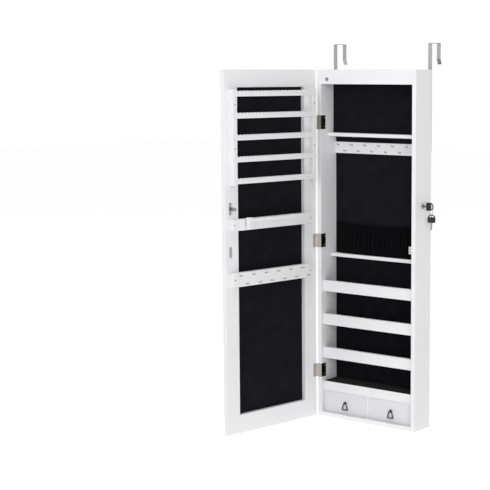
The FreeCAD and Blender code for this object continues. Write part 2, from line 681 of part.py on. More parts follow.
def knuckles(z, own, plate_low_y, plate_high_y):
    """The knuckles that belong to one leaf, each joined to it by a root of the leaf's thickness."""
    pieces = []
    for low, high in [span for k, span in enumerate(knuckle_spans(z)) if k % 2 == own]:
        barrel = rod(KNUCKLE_R, (PIN_X, PIN_Y, low), (PIN_X, PIN_Y, high))
        root = block((PIN_X, plate_low_y, low), (PIN_X + KNUCKLE_R + KNUCKLE_ROOT, plate_high_y, high))
        pieces.append(barrel.fuse(root))
    return pieces


def make_hinges():
    case_leaves, door_leaves, pins = [], [], []
    root_x = PIN_X + KNUCKLE_R + KNUCKLE_ROOT
    for z in HINGE_Z:
        low, high = z - HINGE_HEIGHT / 2, z + HINGE_HEIGHT / 2
        # the case leaf covers the side's front edge and wraps on to its inner face
        edge = block((root_x, -LEAF, low), (INNER_LEFT + LEAF, 0, high))
        wrap = block((INNER_LEFT, -LEAF, low), (INNER_LEFT + LEAF, WRAP_DEPTH, high))
        leaf = edge.fuse(wrap).removeSplitter()
        own = knuckles(z, 0, -LEAF, 0)
        bore = rod(PIN / 2, (PIN_X, PIN_Y, low), (PIN_X, PIN_Y, high))
        case_leaves.append(leaf.fuse(own).cut(bore).removeSplitter())

        # the door leaf lies flat on the hinge stile
        flat = block((root_x, DOOR_IN_Y, low), (DOOR_LEAF_WIDTH, DOOR_IN_Y + LEAF, high))
        loose = rod(PIN / 2 + PIN_FIT, (PIN_X, PIN_Y, low), (PIN_X, PIN_Y, high))
        own = knuckles(z, 1, DOOR_IN_Y, DOOR_IN_Y + LEAF)
        door_leaves.append(flat.fuse(own).cut(loose).removeSplitter())

        pins.append(rod(PIN / 2, (PIN_X, PIN_Y, low), (PIN_X, PIN_Y, high)))
    keep("hinge_leaves_case", Part.makeCompound(case_leaves))
    keep("hinge_pins", Part.makeCompound(pins))
    keep("hinge_leaves_door", Part.makeCompound(door_leaves), swings=True)


# ---------------------------------------------------------------- screws
def make_screws():
    case = []
    leaf_x = INNER_LEFT + LEAF
    for z in HINGE_Z:
        for dz in (-HINGE_SCREW_SPREAD / 2, HINGE_SCREW_SPREAD / 2):
            case.append(flush_screw((leaf_x, WRAP_DEPTH - HINGE_SCREW_INSET, z + dz), (1, 0, 0)))
    near = CASE_DEPTH + STRAP
    for left in STRAPS.values():
        for number in (0, STRAP_HOLES - 1):
            case.append(domed_screw((left + STRAP_WIDTH / 2, near, strap_hole_z(number)), (0, 1, 0)))
    keep("screws_case", Part.makeCompound(case))

    door = []
    face = DOOR_IN_Y + RACK_PROUD
    for left in RACK_STRIPS.values():
        for number in (0, 2):
            z = bar_z(number) - (BAR_PITCH - BAR_HEIGHT) / 2
            door.append(domed_screw((left + RACK_STRIP / 2, face, z), (0, 1, 0)))
    plate_y = DOOR_IN_Y + DOOR_PLATE
    for x in (DOOR_PLATE_LEFT + PLATE_SCREW_LEFT, DOOR_PLATE_RIGHT - PLATE_SCREW_RIGHT):
        door.append(domed_screw((x, plate_y, BRACELET_PLATE_Z + BRACELET_PLATE_HEIGHT / 2), (0, 1, 0)))
        door.append(domed_screw((x, plate_y, DOOR_NECK_PLATE_Z + DOOR_NECK_PLATE_HEIGHT / 2), (0, 1, 0)))
    keep("screws_door", Part.makeCompound(door), swings=True)


# ---------------------------------------------------------------- drawers
def make_drawer(side, left, right):
    """One drawer: a front, an open box behind it, an eye on the front and a loose ring pull."""
    back = FRONT_RECESS + DRAWER_FRONT
    front = block((left, FRONT_RECESS, DRAWER_Z), (right, back, DRAWER_TOP_Z))
    front = eased(front, EDGE_EASE, lambda p: abs(p.y - FRONT_RECESS) < 1e-6)
    keep("drawer_front_" + side, front)

    end = LINED_Y - DRAWER_BACK_AIR
    top = DRAWER_Z + DRAWER_BOX_HEIGHT
    near, far = left + DRAWER_LAP, right - DRAWER_LAP
    box = block((near, back, DRAWER_Z), (far, end, top))
    hollow = block((near + DRAWER_SIDE, back, DRAWER_Z + DRAWER_FLOOR),
                   (far - DRAWER_SIDE, end - DRAWER_SIDE, top))
    keep("drawer_box_" + side, box.cut(hollow))

    middle = (left + right) / 2
    pivot_y = FRONT_RECESS - PULL_STANDOFF - PULL_WIRE / 2
    keep("pull_eye_" + side, pull_eye(middle, pivot_y))
    keep("pull_ring_" + side, pull_ring(middle, pivot_y))


def pull_eye(x, pivot_y):
    """A round rose with a bored lug that carries the ring's top bar."""
    z = PULL_PIVOT_Z
    half = EYE_WIDTH / 2
    outer = EYE_BORE / 2 + EYE_WALL
    rose = rod(EYE_ROSE / 2, (x, FRONT_RECESS - EYE_ROSE_THICK, z), (x, FRONT_RECESS, z))
    lug = block((x - half, pivot_y, z - outer), (x + half, FRONT_RECESS, z + outer))
    nose = rod(outer, (x - half, pivot_y, z), (x + half, pivot_y, z))
    bore = rod(EYE_BORE / 2, (x - half, pivot_y, z), (x + half, pivot_y, z))
    return rose.fuse([lug, nose]).cut(bore).removeSplitter()


def pull_ring(x, y):
    """A triangular ring of round wire, its narrow top bar through the eye."""
    top_half = (PULL_TOP_WIDTH - PULL_WIRE) / 2
    base_half = (PULL_WIDTH - PULL_WIRE) / 2
    z = PULL_PIVOT_Z
    foot = z - (PULL_HEIGHT - PULL_WIRE)
    corners = [(x - top_half, y, z), (x + top_half, y, z),
               (x + base_half, y, foot), (x - base_half, y, foot)]
    return bent_wire(cut_corners(corners, PULL_BEND, True), PULL_WIRE, PULL_SIDES, True)


def make_drawers():
    middle = CASE_WIDTH / 2
    half = DIVIDER / 2
    side_air = 2 * FIT
    make_drawer("left", INNER_LEFT + side_air, middle - half - side_air)
    make_drawer("right", middle + half + side_air, INNER_RIGHT - side_air)


# ---------------------------------------------------------------- lock and keys
def make_lock():
    at = lambda x: (x, LOCK_Y, LOCK_Z)
    inner_end = INNER_RIGHT - LOCK_NUT_THICK - LOCK_THREAD_END
    flange = rod(LOCK_FLANGE / 2, at(CASE_WIDTH), at(LOCK_FACE_X))
    rim = [e for e in flange.Edges if abs(e.CenterOfMass.x - LOCK_FACE_X) < 1e-6]
    flange = flange.makeChamfer(LOCK_FLANGE_BEVEL, rim)
    body = flange.fuse(rod(LOCK_BARREL / 2, at(inner_end), at(CASE_WIDTH)))
    bore = rod(PLUG / 2 + PLUG_FIT, at(inner_end), at(LOCK_FACE_X))
    keep("lock_body", body.cut(bore).removeSplitter())

    corner = LOCK_NUT / math.sqrt(3)
    nut_x = INNER_RIGHT - LOCK_NUT_THICK
    turns = [math.radians(60 * k) for k in range(6)]
    corners = [(nut_x, LOCK_Y + corner * math.sin(t), LOCK_Z + corner * math.cos(t)) for t in turns]
    nut = prism(corners, (LOCK_NUT_THICK, 0, 0))
    keep("lock_nut", nut.cut(rod(LOCK_BARREL / 2, at(nut_x), at(INNER_RIGHT))))

    # the plug runs through the barrel; the cam sits on its squared end under a round head
    cam_face = inner_end - FIT
    cam_back = cam_face - CAM
    flat = PLUG_SQUARE / 2
    plug_face = LOCK_FACE_X + PLUG_PROUD
    plug = rod(PLUG / 2, at(cam_face), at(plug_face))
    square = block((cam_back, LOCK_Y - flat, LOCK_Z - flat), (cam_face, LOCK_Y + flat, LOCK_Z + flat))
    plug = plug.fuse([square, rod(PLUG_END / 2, at(cam_back - PLUG_END_THICK), at(cam_back))])
    slot = block((plug_face - KEY_SLOT_DEPTH, LOCK_Y - KEY_BLADE / 2, LOCK_Z - KEY_BLADE_WIDTH / 2),
                 (plug_face, LOCK_Y + KEY_BLADE / 2, LOCK_Z + KEY_BLADE_WIDTH / 2))
    keep("lock_plug", plug.cut(slot).removeSplitter())
    keep("lock_cam", lock_cam(cam_back, flat))

    key = key_shape(KEY_SLOT_DEPTH + KEY_STANDOFF - PLUG_PROUD)
    key.rotate(V(0, 0, 0), V(0, 1, 0), 90)
    key.translate(V(LOCK_FACE_X + KEY_STANDOFF, LOCK_Y, LOCK_Z))
    keep("key_in_lock", key)

    # the ring hangs from the lower end of that key's slot and the spare key hangs from the ring
    ring_x = LOCK_FACE_X + KEY_STANDOFF + KEY_HEAD_LENGTH - KEY_HOLE_FROM_END
    wire = KEY_RING_WIRE / 2
    ring_top = LOCK_Z - KEY_HOLE_LONG / 2 + FIT + wire
    circle = Part.makeCircle(KEY_RING / 2, V(ring_x, LOCK_Y, ring_top - KEY_RING / 2), V(1, 0, 0))
    ring = bent_wire(circle.discretize(KEY_RING_SIDES + 1)[:-1], KEY_RING_WIRE, WIRE_SIDES, True)
    spare = key_shape(KEY_BLADE_LENGTH)
    hole_top = ring_top - KEY_RING + wire + FIT
    spare.translate(V(ring_x, LOCK_Y, hole_top - KEY_HOLE_WIDE / 2 - (KEY_HEAD_LENGTH - KEY_HOLE_FROM_END)))
    for name, shape in (("key_ring", ring), ("key_spare", spare)):
        shape.rotate(V(ring_x, LOCK_Y, 0), V(0, 0, 1), KEY_RING_TURN)
        keep(name, shape)


def lock_cam(back, flat):
    """A hooked cam, drawn unlocked: its arm points up and its nose faces the door."""
    near, far = LOCK_Y + CAM_OFFSET, LOCK_Y + CAM_OFFSET + CAM_ARM
    tip, nose_z = LOCK_Z + CAM_REACH, LOCK_Z + CAM_REACH - CAM_NOSE
    nose_y = LOCK_Y - CAM_NOSE
    outline = [(back, near, LOCK_Z), (back, far, LOCK_Z), (back, far, tip), (back, nose_y, tip),
               (back, nose_y, nose_z), (back, near, nose_z)]
    arm = prism(outline, (CAM, 0, 0))
    hub = rod(CAM_HUB / 2, (back, LOCK_Y, LOCK_Z), (back + CAM, LOCK_Y, LOCK_Z))
    square = block((back, LOCK_Y - flat, LOCK_Z - flat), (back + CAM, LOCK_Y + flat, LOCK_Z + flat))
    return arm.fuse(hub).cut(square).removeSplitter()


def key_shape(blade_length):
    """A flat key standing up: blade downward from the origin, round-ended head above it."""
    half = KEY_HEAD_WIDTH / 2
    flat = KEY_HEAD / 2
    shoulder = KEY_HEAD_LENGTH - half
    crown = Part.Arc(V(half, -flat, shoulder), V(0, -flat, KEY_HEAD_LENGTH), V(-half, -flat, shoulder))
    foot = half - KEY_FOOT
    left_side = [V(-half, -flat, shoulder), V(-half, -flat, KEY_FOOT), V(-foot, -flat, 0)]
    right_side = [V(foot, -flat, 0), V(half, -flat, KEY_FOOT), V(half, -flat, shoulder)]
    sides = Part.makePolygon(left_side + right_side)
    head = Part.Face(Part.Wire([crown.toShape()] + sides.Edges)).extrude(V(0, KEY_HEAD, 0))

    # a slot for the ring near the round end, its mouth bevelled from both faces
    slot_z = KEY_HEAD_LENGTH - KEY_HOLE_FROM_END
    radius = KEY_HOLE_WIDE / 2
    run = KEY_HOLE_LONG / 2 - radius
    cutter = block((-run, -flat, slot_z - radius), (run, flat, slot_z + radius))
    cutter = cutter.fuse([rod(radius, (x, -flat, slot_z), (x, flat, slot_z)) for x in (-run, run)])
    head = head.cut(cutter.removeSplitter())
    mouth = [e for e in head.Edges if abs(abs(e.CenterOfMass.y) - flat) < 1e-6
             and abs(e.CenterOfMass.z - slot_z) < radius + 1e-6 and abs(e.CenterOfMass.x) < run + radius]
    head = head.makeChamfer(KEY_HOLE_CHAMFER, mouth)

    root = KEY_BLADE / 2
    blade = block((-KEY_BLADE_WIDTH / 2, -root, -blade_length), (KEY_BLADE_WIDTH / 2, root, root))
    tip = -blade_length
    tips = [e for e in blade.Edges if abs(e.CenterOfMass.z - tip) < 1e-6 and abs(e.CenterOfMass.y) < 1e-6]
    blade = blade.makeChamfer(KEY_TIP, tips)
    return head.fuse(blade).removeSplitter()


def make_keeper():
    """A plate on the free stile with a tongue square to it, its end bent over for the cam's nose."""
    face = DOOR_IN_Y + KEEPER
    half = KEEPER_PLATE_WIDTH / 2
    middle_z = LOCK_Z - KEEPER_DROP
    half_height = KEEPER_PLATE_HEIGHT / 2
    plate = block((KEEPER_X - half, DOOR_IN_Y, middle_z - half_height),
                  (KEEPER_X + half, face, middle_z + half_height))
    middle_y = DOOR_IN_Y + KEEPER / 2
    is_corner = lambda p: abs(p.x - KEEPER_X) > half - 1e-6 and abs(p.y - middle_y) < 1e-6
    plate = eased(plate, KEEPER_CORNER, is_corner)
    end = DOOR_IN_Y + KEEPER_REACH
    left = KEEPER_X - KEEPER_TONGUE_OFFSET
    low, high = middle_z - KEEPER_TONGUE_HEIGHT / 2, middle_z + KEEPER_TONGUE_HEIGHT / 2
    tongue = block((left, face, low), (left + KEEPER, end, high))
    lip = block((left, end - KEEPER, low), (left + KEEPER + KEEPER_LIP, end, high))
    keep("lock_keeper", plate.fuse([tongue, lip]).removeSplitter(), swings=True)


# ---------------------------------------------------------------- build
def main():
    make_carcass()
    make_upper_fittings()
    make_pouch()
    make_shelves()
    make_catch()
    make_switch()
    make_straps()
    make_door_frame()
    make_earring_rack()
    make_bracelet_holder()
    make_door_necklace_plate()
    make_hinges()
    make_screws()
    make_drawers()
    make_lock()
    make_keeper()

    os.makedirs("parts", exist_ok=True)
    for name, shape in PARTS.items():
        shape.exportStep("parts/" + name + ".step")
        state = "ok" if shape.isValid() else "INVALID"
        print("%-22s %3d solids %12.1f mm3 %s" % (name, len(shape.Solids), shape.Volume, state))
    print(len(PARTS), "nodes")


if __name__ == "__main__":
    main()
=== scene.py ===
"""A white over-door jewelry cabinet with a mirror door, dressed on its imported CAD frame.

Everything is in metres in the frame's own axes: X across the cabinet, Y back to the wall, Z up.
Pieces take their places from the CAD nodes. Those on the door are made as if it were closed,
and then turned with it.
"""

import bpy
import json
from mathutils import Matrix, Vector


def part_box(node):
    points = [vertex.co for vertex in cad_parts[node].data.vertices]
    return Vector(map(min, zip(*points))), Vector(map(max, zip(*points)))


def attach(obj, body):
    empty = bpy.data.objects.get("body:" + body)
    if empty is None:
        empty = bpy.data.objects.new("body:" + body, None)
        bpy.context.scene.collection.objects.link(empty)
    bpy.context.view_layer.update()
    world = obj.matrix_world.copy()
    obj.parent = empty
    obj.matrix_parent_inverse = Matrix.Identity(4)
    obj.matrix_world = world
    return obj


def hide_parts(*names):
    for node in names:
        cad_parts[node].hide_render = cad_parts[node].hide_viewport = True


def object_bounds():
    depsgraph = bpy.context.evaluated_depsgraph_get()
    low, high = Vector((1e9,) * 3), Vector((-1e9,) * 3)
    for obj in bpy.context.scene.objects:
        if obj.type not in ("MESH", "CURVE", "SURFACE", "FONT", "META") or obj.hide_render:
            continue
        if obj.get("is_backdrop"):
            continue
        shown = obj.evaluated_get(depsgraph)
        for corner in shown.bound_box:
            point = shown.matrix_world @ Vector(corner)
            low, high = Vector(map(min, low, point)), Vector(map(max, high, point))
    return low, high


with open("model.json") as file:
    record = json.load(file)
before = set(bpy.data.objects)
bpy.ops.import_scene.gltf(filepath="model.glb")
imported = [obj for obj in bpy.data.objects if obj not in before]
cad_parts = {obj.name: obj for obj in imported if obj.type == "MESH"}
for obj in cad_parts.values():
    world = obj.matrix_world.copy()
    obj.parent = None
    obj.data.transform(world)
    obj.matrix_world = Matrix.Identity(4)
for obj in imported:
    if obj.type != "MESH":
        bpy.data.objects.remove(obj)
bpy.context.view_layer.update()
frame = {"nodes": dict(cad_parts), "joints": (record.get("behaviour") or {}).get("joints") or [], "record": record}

import json
import math

import bmesh
import bpy
from mathutils import Matrix, Vector, noise

bl_info = {
    "name": "Jewelry mirror cabinet",
    "version": (1, 0, 0),
    "blender": (4, 5, 0),
    "location": "View3D > Sidebar > Cabinet",
    "description": "Dresses the CAD frame of a jewelry cabinet with detailed pieces and finishes",
    "category": "Object",
}

NODES = frame["nodes"]
JOINTS = {joint["name"]: joint for joint in frame["joints"]}


# ---------------------------------------------------------------- colours and sizes that can be set
def paint(code):
    """Linear colour of an sRGB hex code."""
    parts = [int(code[i:i + 2], 16) / 255 for i in (1, 3, 5)]
    return tuple(c / 12.92 if c <= 0.04045 else ((c + 0.055) / 1.055) ** 2.4 for c in parts)


def rgba(colour):
    """A colour with full alpha, as node sockets want it."""
    return (*colour, 1.0)


def colour_property(name, description, code):
    """A colour that a user can set, from its sRGB hex code."""
    return bpy.props.FloatVectorProperty(name=name, description=description, default=paint(code),
                                         subtype="COLOR", min=0.0, max=1.0)


def length_property(name, description, metres):
    """A length in metres that a user can set."""
    return bpy.props.FloatProperty(name=name, description=description, default=metres,
                                   unit="LENGTH", subtype="DISTANCE", min=0.0, precision=5)


class CabinetColours(bpy.types.PropertyGroup):
    lacquer: colour_property("Lacquer", "Sprayed white of the boards", "#DFDFE0")
    lacquer_drift: colour_property("Lacquer drift", "Slightly greyer white it drifts to", "#D9D9DC")
    # the drawers' fronts are a greyer white than the case: painted shade
    drawer: colour_property("Drawer fronts", "White of the drawers' fronts, greyed as painted shade", "#D2D3D5")
    drawer_shaded_drift: colour_property("Drawer drift", "Slightly greyer white that drifts to", "#CCCDD0")
    felt: colour_property("Felt", "Black flocked lining", "#101115")
    felt_nap_sheen: colour_property("Felt nap", "Painted sheen where the nap leans the other way", "#16171B")
    cloth: colour_property("Cloth", "Black woven pouch cloth", "#060709")
    cloth_thread_highlight: colour_property("Cloth thread", "Painted highlight on the weave's raised threads", "#131418")
    silver: colour_property("Mirror silver", "Silvered glass", "#F6F8F8")
    nickel: colour_property("Nickel", "Plating of the hinges", "#B9B5AA")
    # a paler copy of the hinges' nickel: painted highlight on their outer faces
    nickel_satin_painted_lit: colour_property("Satin nickel", "Outer faces of the hinges", "#C9C5BB")
    zinc: colour_property("Zinc", "Plating of the straps", "#A6A8AC")
    chrome: colour_property("Chrome", "Plating of the lock and key ring", "#A2A4A8")
    hook: colour_property("Hooks", "Plating of the necklace hooks", "#7C7C80")
    steel: colour_property("Steel", "Screws and the keys' blades", "#939395")
    key_black: colour_property("Key heads", "Moulded black plastic", "#101012")
    pull_black: colour_property("Pulls", "Black lacquered metal", "#141416")
    catch_grey: colour_property("Catch", "Moulded housing of the catch", "#B9B7B4")
    switch_black: colour_property("Switch", "Moulded body of the switch", "#77787B")
    floor: colour_property("Floor", "Plain pale floor", "#F4F4F4")


class CabinetSizes(bpy.types.PropertyGroup):
    board_ease: length_property("Board edges", "Rounding of the lacquered edges", 0.0006)
    metal_ease: length_property("Metal edges", "Rounding of sheared metal", 0.00018)
    hook_wire: length_property("Hook wire", "Diameter of a necklace hook", 0.0019)
    hook_bend: length_property("Hook bend", "Inner reach of a hook's bend", 0.003)
    hook_rosette: length_property("Hook rosette", "Diameter of the collar at a hook's root", 0.0044)
    pull_wire: length_property("Pull wire", "Diameter of a pull ring's wire", 0.0036)
    key_thickness: length_property("Key head", "Thickness of a key's head", 0.004)
    key_slot: length_property("Key slot", "Width of the slot in a key's head", 0.005)
    stud_hole: length_property("Stud holes", "Diameter of the stud holes in the earring bars", 0.0026)
    stud_drop: length_property("Stud drop", "From a bar's top edge to its stud holes", 0.0095)
    notch_pitch: length_property("Notch pitch", "Spacing of an earring bar's notches", 0.015)
    notch_mouth: length_property("Notch mouth", "Width of a notch where it opens", 0.0068)
    liner: length_property("Liner", "Thickness of the felt on the trays", 0.0008)
    cloth: length_property("Pouch cloth", "Thickness of the pouch's cloth", 0.0006)
    pouch_cut_width: length_property("Pouch cut width", "Width the pouch is cut to, ungathered", 0.44)
    pouch_cut_height: length_property("Pouch cut height", "Height the pouch is cut to", 0.108)
    gather: length_property("Gathers", "Spacing of the gathers at the pouch's elastic", 0.0076)
    tuck: length_property("Tucks", "Depth of a gather at the elastic", 0.0027)
    fold: length_property("Folds", "Depth of the folds in the belly of the pouch", 0.0042)


def colours():
    """The colours as they are set now."""
    return bpy.context.scene.cabinet_colours


def sizes():
    """The sizes as they are set now."""
    return bpy.context.scene.cabinet_sizes


# ---------------------------------------------------------------- node materials
def connect(tree, item, inputs):
    """Set each named input to a constant, or link it where it is another node's output."""
    for key, value in inputs.items():
        if isinstance(value, bpy.types.NodeSocket):
            tree.links.new(value, item.inputs[key])
        else:
            item.inputs[key].default_value = value


def add(tree, kind, inputs=None, **settings):
    """Add one node with its settings and inputs."""
    item = tree.nodes.new(kind)
    for key, value in settings.items():
        setattr(item, key, value)
    connect(tree, item, inputs or {})
    return item


def new_material(name, constants):
    """A material whose Principled shader has these constants, and the place it is read at."""
    material = bpy.data.materials.new(name)
    material.use_nodes = True
    tree = material.node_tree
    tree.nodes.clear()
    shader = add(tree, "ShaderNodeBsdfPrincipled", constants)
    add(tree, "ShaderNodeOutputMaterial", {"Surface": shader.outputs["BSDF"]})
    place = add(tree, "ShaderNodeTexCoord").outputs["Object"]
    return material, tree, shader, place


# A wave texture repeats 20 / (2 pi) times in one unit of its scale.
WAVES = 3.2


def per_metre(size):
    """Texture scale whose features have this size in metres."""
    return 1.0 / size


def satin_lacquer(name, colour, drifted):
    """White lacquer sprayed on MDF: an even satin with faint orange peel and slow drifts of tone."""
    # orange peel 2.2 mm from crest to crest; dust in the film is drawn at 0.6 mm, coarser than it is
    material, tree, shader, place = new_material(name, {
        "Specular IOR Level": 0.42, "Coat Weight": 0.12, "Coat Roughness": 0.28})
    peel = add(tree, "ShaderNodeTexNoise", {"Vector": place, "Scale": per_metre(0.0022), "Detail": 2.0})
    drift = add(tree, "ShaderNodeTexNoise", {"Vector": place, "Scale": per_metre(0.09), "Detail": 4.0})
    grain = add(tree, "ShaderNodeTexNoise", {"Vector": place, "Scale": per_metre(0.0006), "Detail": 3.0})
    tone = add(tree, "ShaderNodeMix", {0: drift.outputs["Fac"], 6: rgba(colour), 7: rgba(drifted)},
               data_type="RGBA")
    satin = add(tree, "ShaderNodeMapRange", {"Value": drift.outputs["Fac"], "To Min": 0.36, "To Max": 0.5})
    surface = add(tree, "ShaderNodeMath", {0: peel.outputs["Fac"], 1: grain.outputs["Fac"]},
                  operation="ADD")
    relief = add(tree, "ShaderNodeBump", {"Height": surface.outputs["Value"], "Strength": 0.18,
                                          "Distance": 0.00006})
    connect(tree, shader, {"Base Color": tone.outputs[2], "Roughness": satin.outputs["Result"],
                           "Normal": relief.outputs["Normal"]})
    return material


def sprayed_lacquer():
    """The white of the case and the door."""
    return satin_lacquer("White satin lacquer sprayed on MDF", colours().lacquer, colours().lacquer_drift)


def drawer_shaded_lacquer():
    """The drawers' fronts: the case's satin lacquer in a greyer white, which is painted shade for their darker
    look.
    """
    return satin_lacquer("Satin lacquer on MDF greyed as painted shade", colours().drawer, colours().drawer_shaded_drift)


def flocked_felt():
    """Flocked felt: matt black, softly mottled with a painted sheen where its short fibres lean two ways."""
    # drawn at the fibres' length of 0.5 mm, because their thickness is too fine to show
    material, tree, shader, place = new_material("Black felt flocked on board", {
        "Roughness": 1.0, "Specular IOR Level": 0.04, "Sheen Weight": 0.035, "Sheen Roughness": 0.5})
    nap = add(tree, "ShaderNodeTexNoise", {"Vector": place, "Scale": per_metre(0.035), "Detail": 5.0,
                                           "Roughness": 0.6})
    fibre = add(tree, "ShaderNodeTexNoise", {"Vector": place, "Scale": per_metre(0.0005), "Detail": 4.0})
    lint = add(tree, "ShaderNodeTexVoronoi", {"Vector": place, "Scale": per_metre(0.0011)})
    # the nap's lean is painted into the colour as a lighter black: painted sheen
    nap_sheen = add(tree, "ShaderNodeMapRange", {"Value": nap.outputs["Fac"], "From Min": 0.35,
                                               "From Max": 0.65})
    tone = add(tree, "ShaderNodeMix", {0: nap_sheen.outputs["Result"], 6: rgba(colours().felt),
                                       7: rgba(colours().felt_nap_sheen)}, data_type="RGBA")
    pile = add(tree, "ShaderNodeMath", {0: fibre.outputs["Fac"], 1: lint.outputs["Distance"]},
               operation="ADD")
    relief = add(tree, "ShaderNodeBump", {"Height": pile.outputs["Value"], "Strength": 0.6,
                                          "Distance": 0.0003})
    connect(tree, shader, {"Base Color": tone.outputs[2], "Normal": relief.outputs["Normal"]})
    return material


def woven_cloth():
    """Plain-woven black cloth: fine crossing threads whose tops are painted lighter, a painted highlight."""
    material, tree, shader, place = new_material("Black plain-woven cloth", {
        "Roughness": 0.95, "Specular IOR Level": 0.03, "Sheen Weight": 0.02, "Sheen Roughness": 0.4})
    # thread spacing, drawn about twice as coarse as such a cloth has it, so that it shows
    thread = 0.0008
    warp = add(tree, "ShaderNodeTexWave", {"Vector": place, "Scale": per_metre(thread * WAVES),
                                           "Distortion": 0.6, "Detail": 1.0}, bands_direction="X")
    weft = add(tree, "ShaderNodeTexWave", {"Vector": place, "Scale": per_metre(thread * WAVES),
                                           "Distortion": 0.6, "Detail": 1.0}, bands_direction="Z")
    weave = add(tree, "ShaderNodeMath", {0: warp.outputs["Fac"], 1: weft.outputs["Fac"]},
                operation="MULTIPLY")
    slub = add(tree, "ShaderNodeTexNoise", {"Vector": place, "Scale": per_metre(0.006), "Detail": 3.0})
    # where the weave is high the cloth is painted lighter, a painted highlight on the threads' tops, varied by
    # slubs
    lift = add(tree, "ShaderNodeMath", {0: weave.outputs["Value"], 1: slub.outputs["Fac"]},
               operation="MULTIPLY")
    tone = add(tree, "ShaderNodeMix", {0: lift.outputs["Value"], 6: rgba(colours().cloth),
                                       7: rgba(colours().cloth_thread_highlight)}, data_type="RGBA")
    relief = add(tree, "ShaderNodeBump", {"Height": weave.outputs["Value"], "Strength": 0.7,
                                          "Distance": 0.0002})
    connect(tree, shader, {"Base Color": tone.outputs[2], "Normal": relief.outputs["Normal"]})
    return material


def silvered_glass():
    """Silvered glass: a clean mirror with faint wipe marks that only dull its gloss."""
    material, tree, shader, place = new_material("Silvered float glass", {"Metallic": 1.0})
    wipe = add(tree, "ShaderNodeTexNoise", {"Vector": place, "Scale": per_metre(0.06), "Detail": 6.0,
                                            "Distortion": 1.5})
    dust = add(tree, "ShaderNodeTexVoronoi", {"Vector": place, "Scale": per_metre(0.009)})
    gloss = add(tree, "ShaderNodeMapRange", {"Value": wipe.outputs["Fac"], "From Min": 0.45,
                                             "From Max": 0.8, "To Min": 0.008, "To Max": 0.05})
    speck = add(tree, "ShaderNodeMapRange", {"Value": dust.outputs["Distance"], "From Max": 0.03,
                                             "To Min": 0.03, "To Max": 0.0})
    blur = add(tree, "ShaderNodeMath", {0: gloss.outputs["Result"], 1: speck.outputs["Result"]},
               operation="ADD")
    tone = add(tree, "ShaderNodeMix", {0: wipe.outputs["Fac"], 6: rgba(colours().silver),
                                       7: rgba(tuple(0.985 * c for c in colours().silver))},
               data_type="RGBA")
    connect(tree, shader, {"Base Color": tone.outputs[2], "Roughness": blur.outputs["Value"]})
    return material


def brushed_plate(name, colour, stretch, roughness, grain):
    """Plated sheet or bar: fine drawn lines along one way, cloudier where the plating is thicker."""
    # the lines are drawn at 0.5 to 0.9 mm, several times their real spacing, so that they show
    material, tree, shader, place = new_material(name, {"Metallic": 1.0})
    along = add(tree, "ShaderNodeMapping", {"Vector": place, "Scale": stretch})
    lines = add(tree, "ShaderNodeTexNoise", {"Vector": along.outputs["Vector"], "Scale": per_metre(grain),
                                             "Detail": 5.0})
    cloud = add(tree, "ShaderNodeTexNoise", {"Vector": place, "Scale": per_metre(0.012), "Detail": 3.0})
    tone = add(tree, "ShaderNodeMix", {0: cloud.outputs["Fac"], 6: rgba(colour),
                                       7: rgba(tuple(0.86 * c for c in colour))}, data_type="RGBA")
    gloss = add(tree, "ShaderNodeMapRange", {"Value": lines.outputs["Fac"], "To Min": roughness - 0.08,
                                             "To Max": roughness + 0.1})
    relief = add(tree, "ShaderNodeBump", {"Height": lines.outputs["Fac"], "Strength": 0.15,
                                          "Distance": 0.00003})
    connect(tree, shader, {"Base Color": tone.outputs[2], "Roughness": gloss.outputs["Result"],
                           "Normal": relief.outputs["Normal"]})
    return material


def nickel_plate():
    """Stamped steel under dull nickel: warm grey with lines drawn up the leaves."""
    return brushed_plate("Nickel-plated stamped steel", colours().nickel, (1.0, 1.0, 0.04), 0.2, 0.0007)


def satin_nickel_painted_lit():
    """The same nickel rubbed satin, its colour painted paler: a painted highlight for the light that the satin
    spreads.
    """
    return brushed_plate("Satin nickel on stamped steel, painted paler", colours().nickel_satin_painted_lit, (1.0, 1.0, 0.04), 0.5,
                         0.0007)


def chrome_plate():
    """Turned metal under bright chrome: sharp reflections, barely broken by polishing marks."""
    return brushed_plate("Bright chrome on turned metal", colours().chrome, (1.0, 0.3, 0.3), 0.16, 0.0009)


def nickel_wire():
    """Bent steel wire under dark nickel: small smoky reflections along its length."""
    return brushed_plate("Dark nickel on bent wire", colours().hook, (1.0, 1.0, 1.0), 0.26, 0.0006)


def screw_steel():
    """Zinc-plated screw steel: dull grey with marks of the die."""
    return brushed_plate("Zinc-plated screw steel", colours().steel, (1.0, 1.0, 1.0), 0.36, 0.0005)


def zinc_plate():
    """Strap steel under bright zinc: pale crystals a few millimetres across in a soft shine."""
    material, tree, shader, place = new_material("Zinc-plated strap steel", {"Metallic": 1.0})
    crystal = add(tree, "ShaderNodeTexVoronoi", {"Vector": place, "Scale": per_metre(0.0035)})
    rub = add(tree, "ShaderNodeTexNoise", {"Vector": place, "Scale": per_metre(0.001), "Detail": 5.0})
    shade = add(tree, "ShaderNodeSeparateColor", {"Color": crystal.outputs["Color"]})
    tone = add(tree, "ShaderNodeMix", {0: shade.outputs["Red"], 6: rgba(colours().zinc),
                                       7: rgba(tuple(0.88 * c for c in colours().zinc))}, data_type="RGBA")
    gloss = add(tree, "ShaderNodeMapRange", {"Value": rub.outputs["Fac"], "To Min": 0.24, "To Max": 0.38})
    relief = add(tree, "ShaderNodeBump", {"Height": shade.outputs["Green"], "Strength": 0.05,
                                          "Distance": 0.00005})
    connect(tree, shader, {"Base Color": tone.outputs[2], "Roughness": gloss.outputs["Result"],
                           "Normal": relief.outputs["Normal"]})
    return material


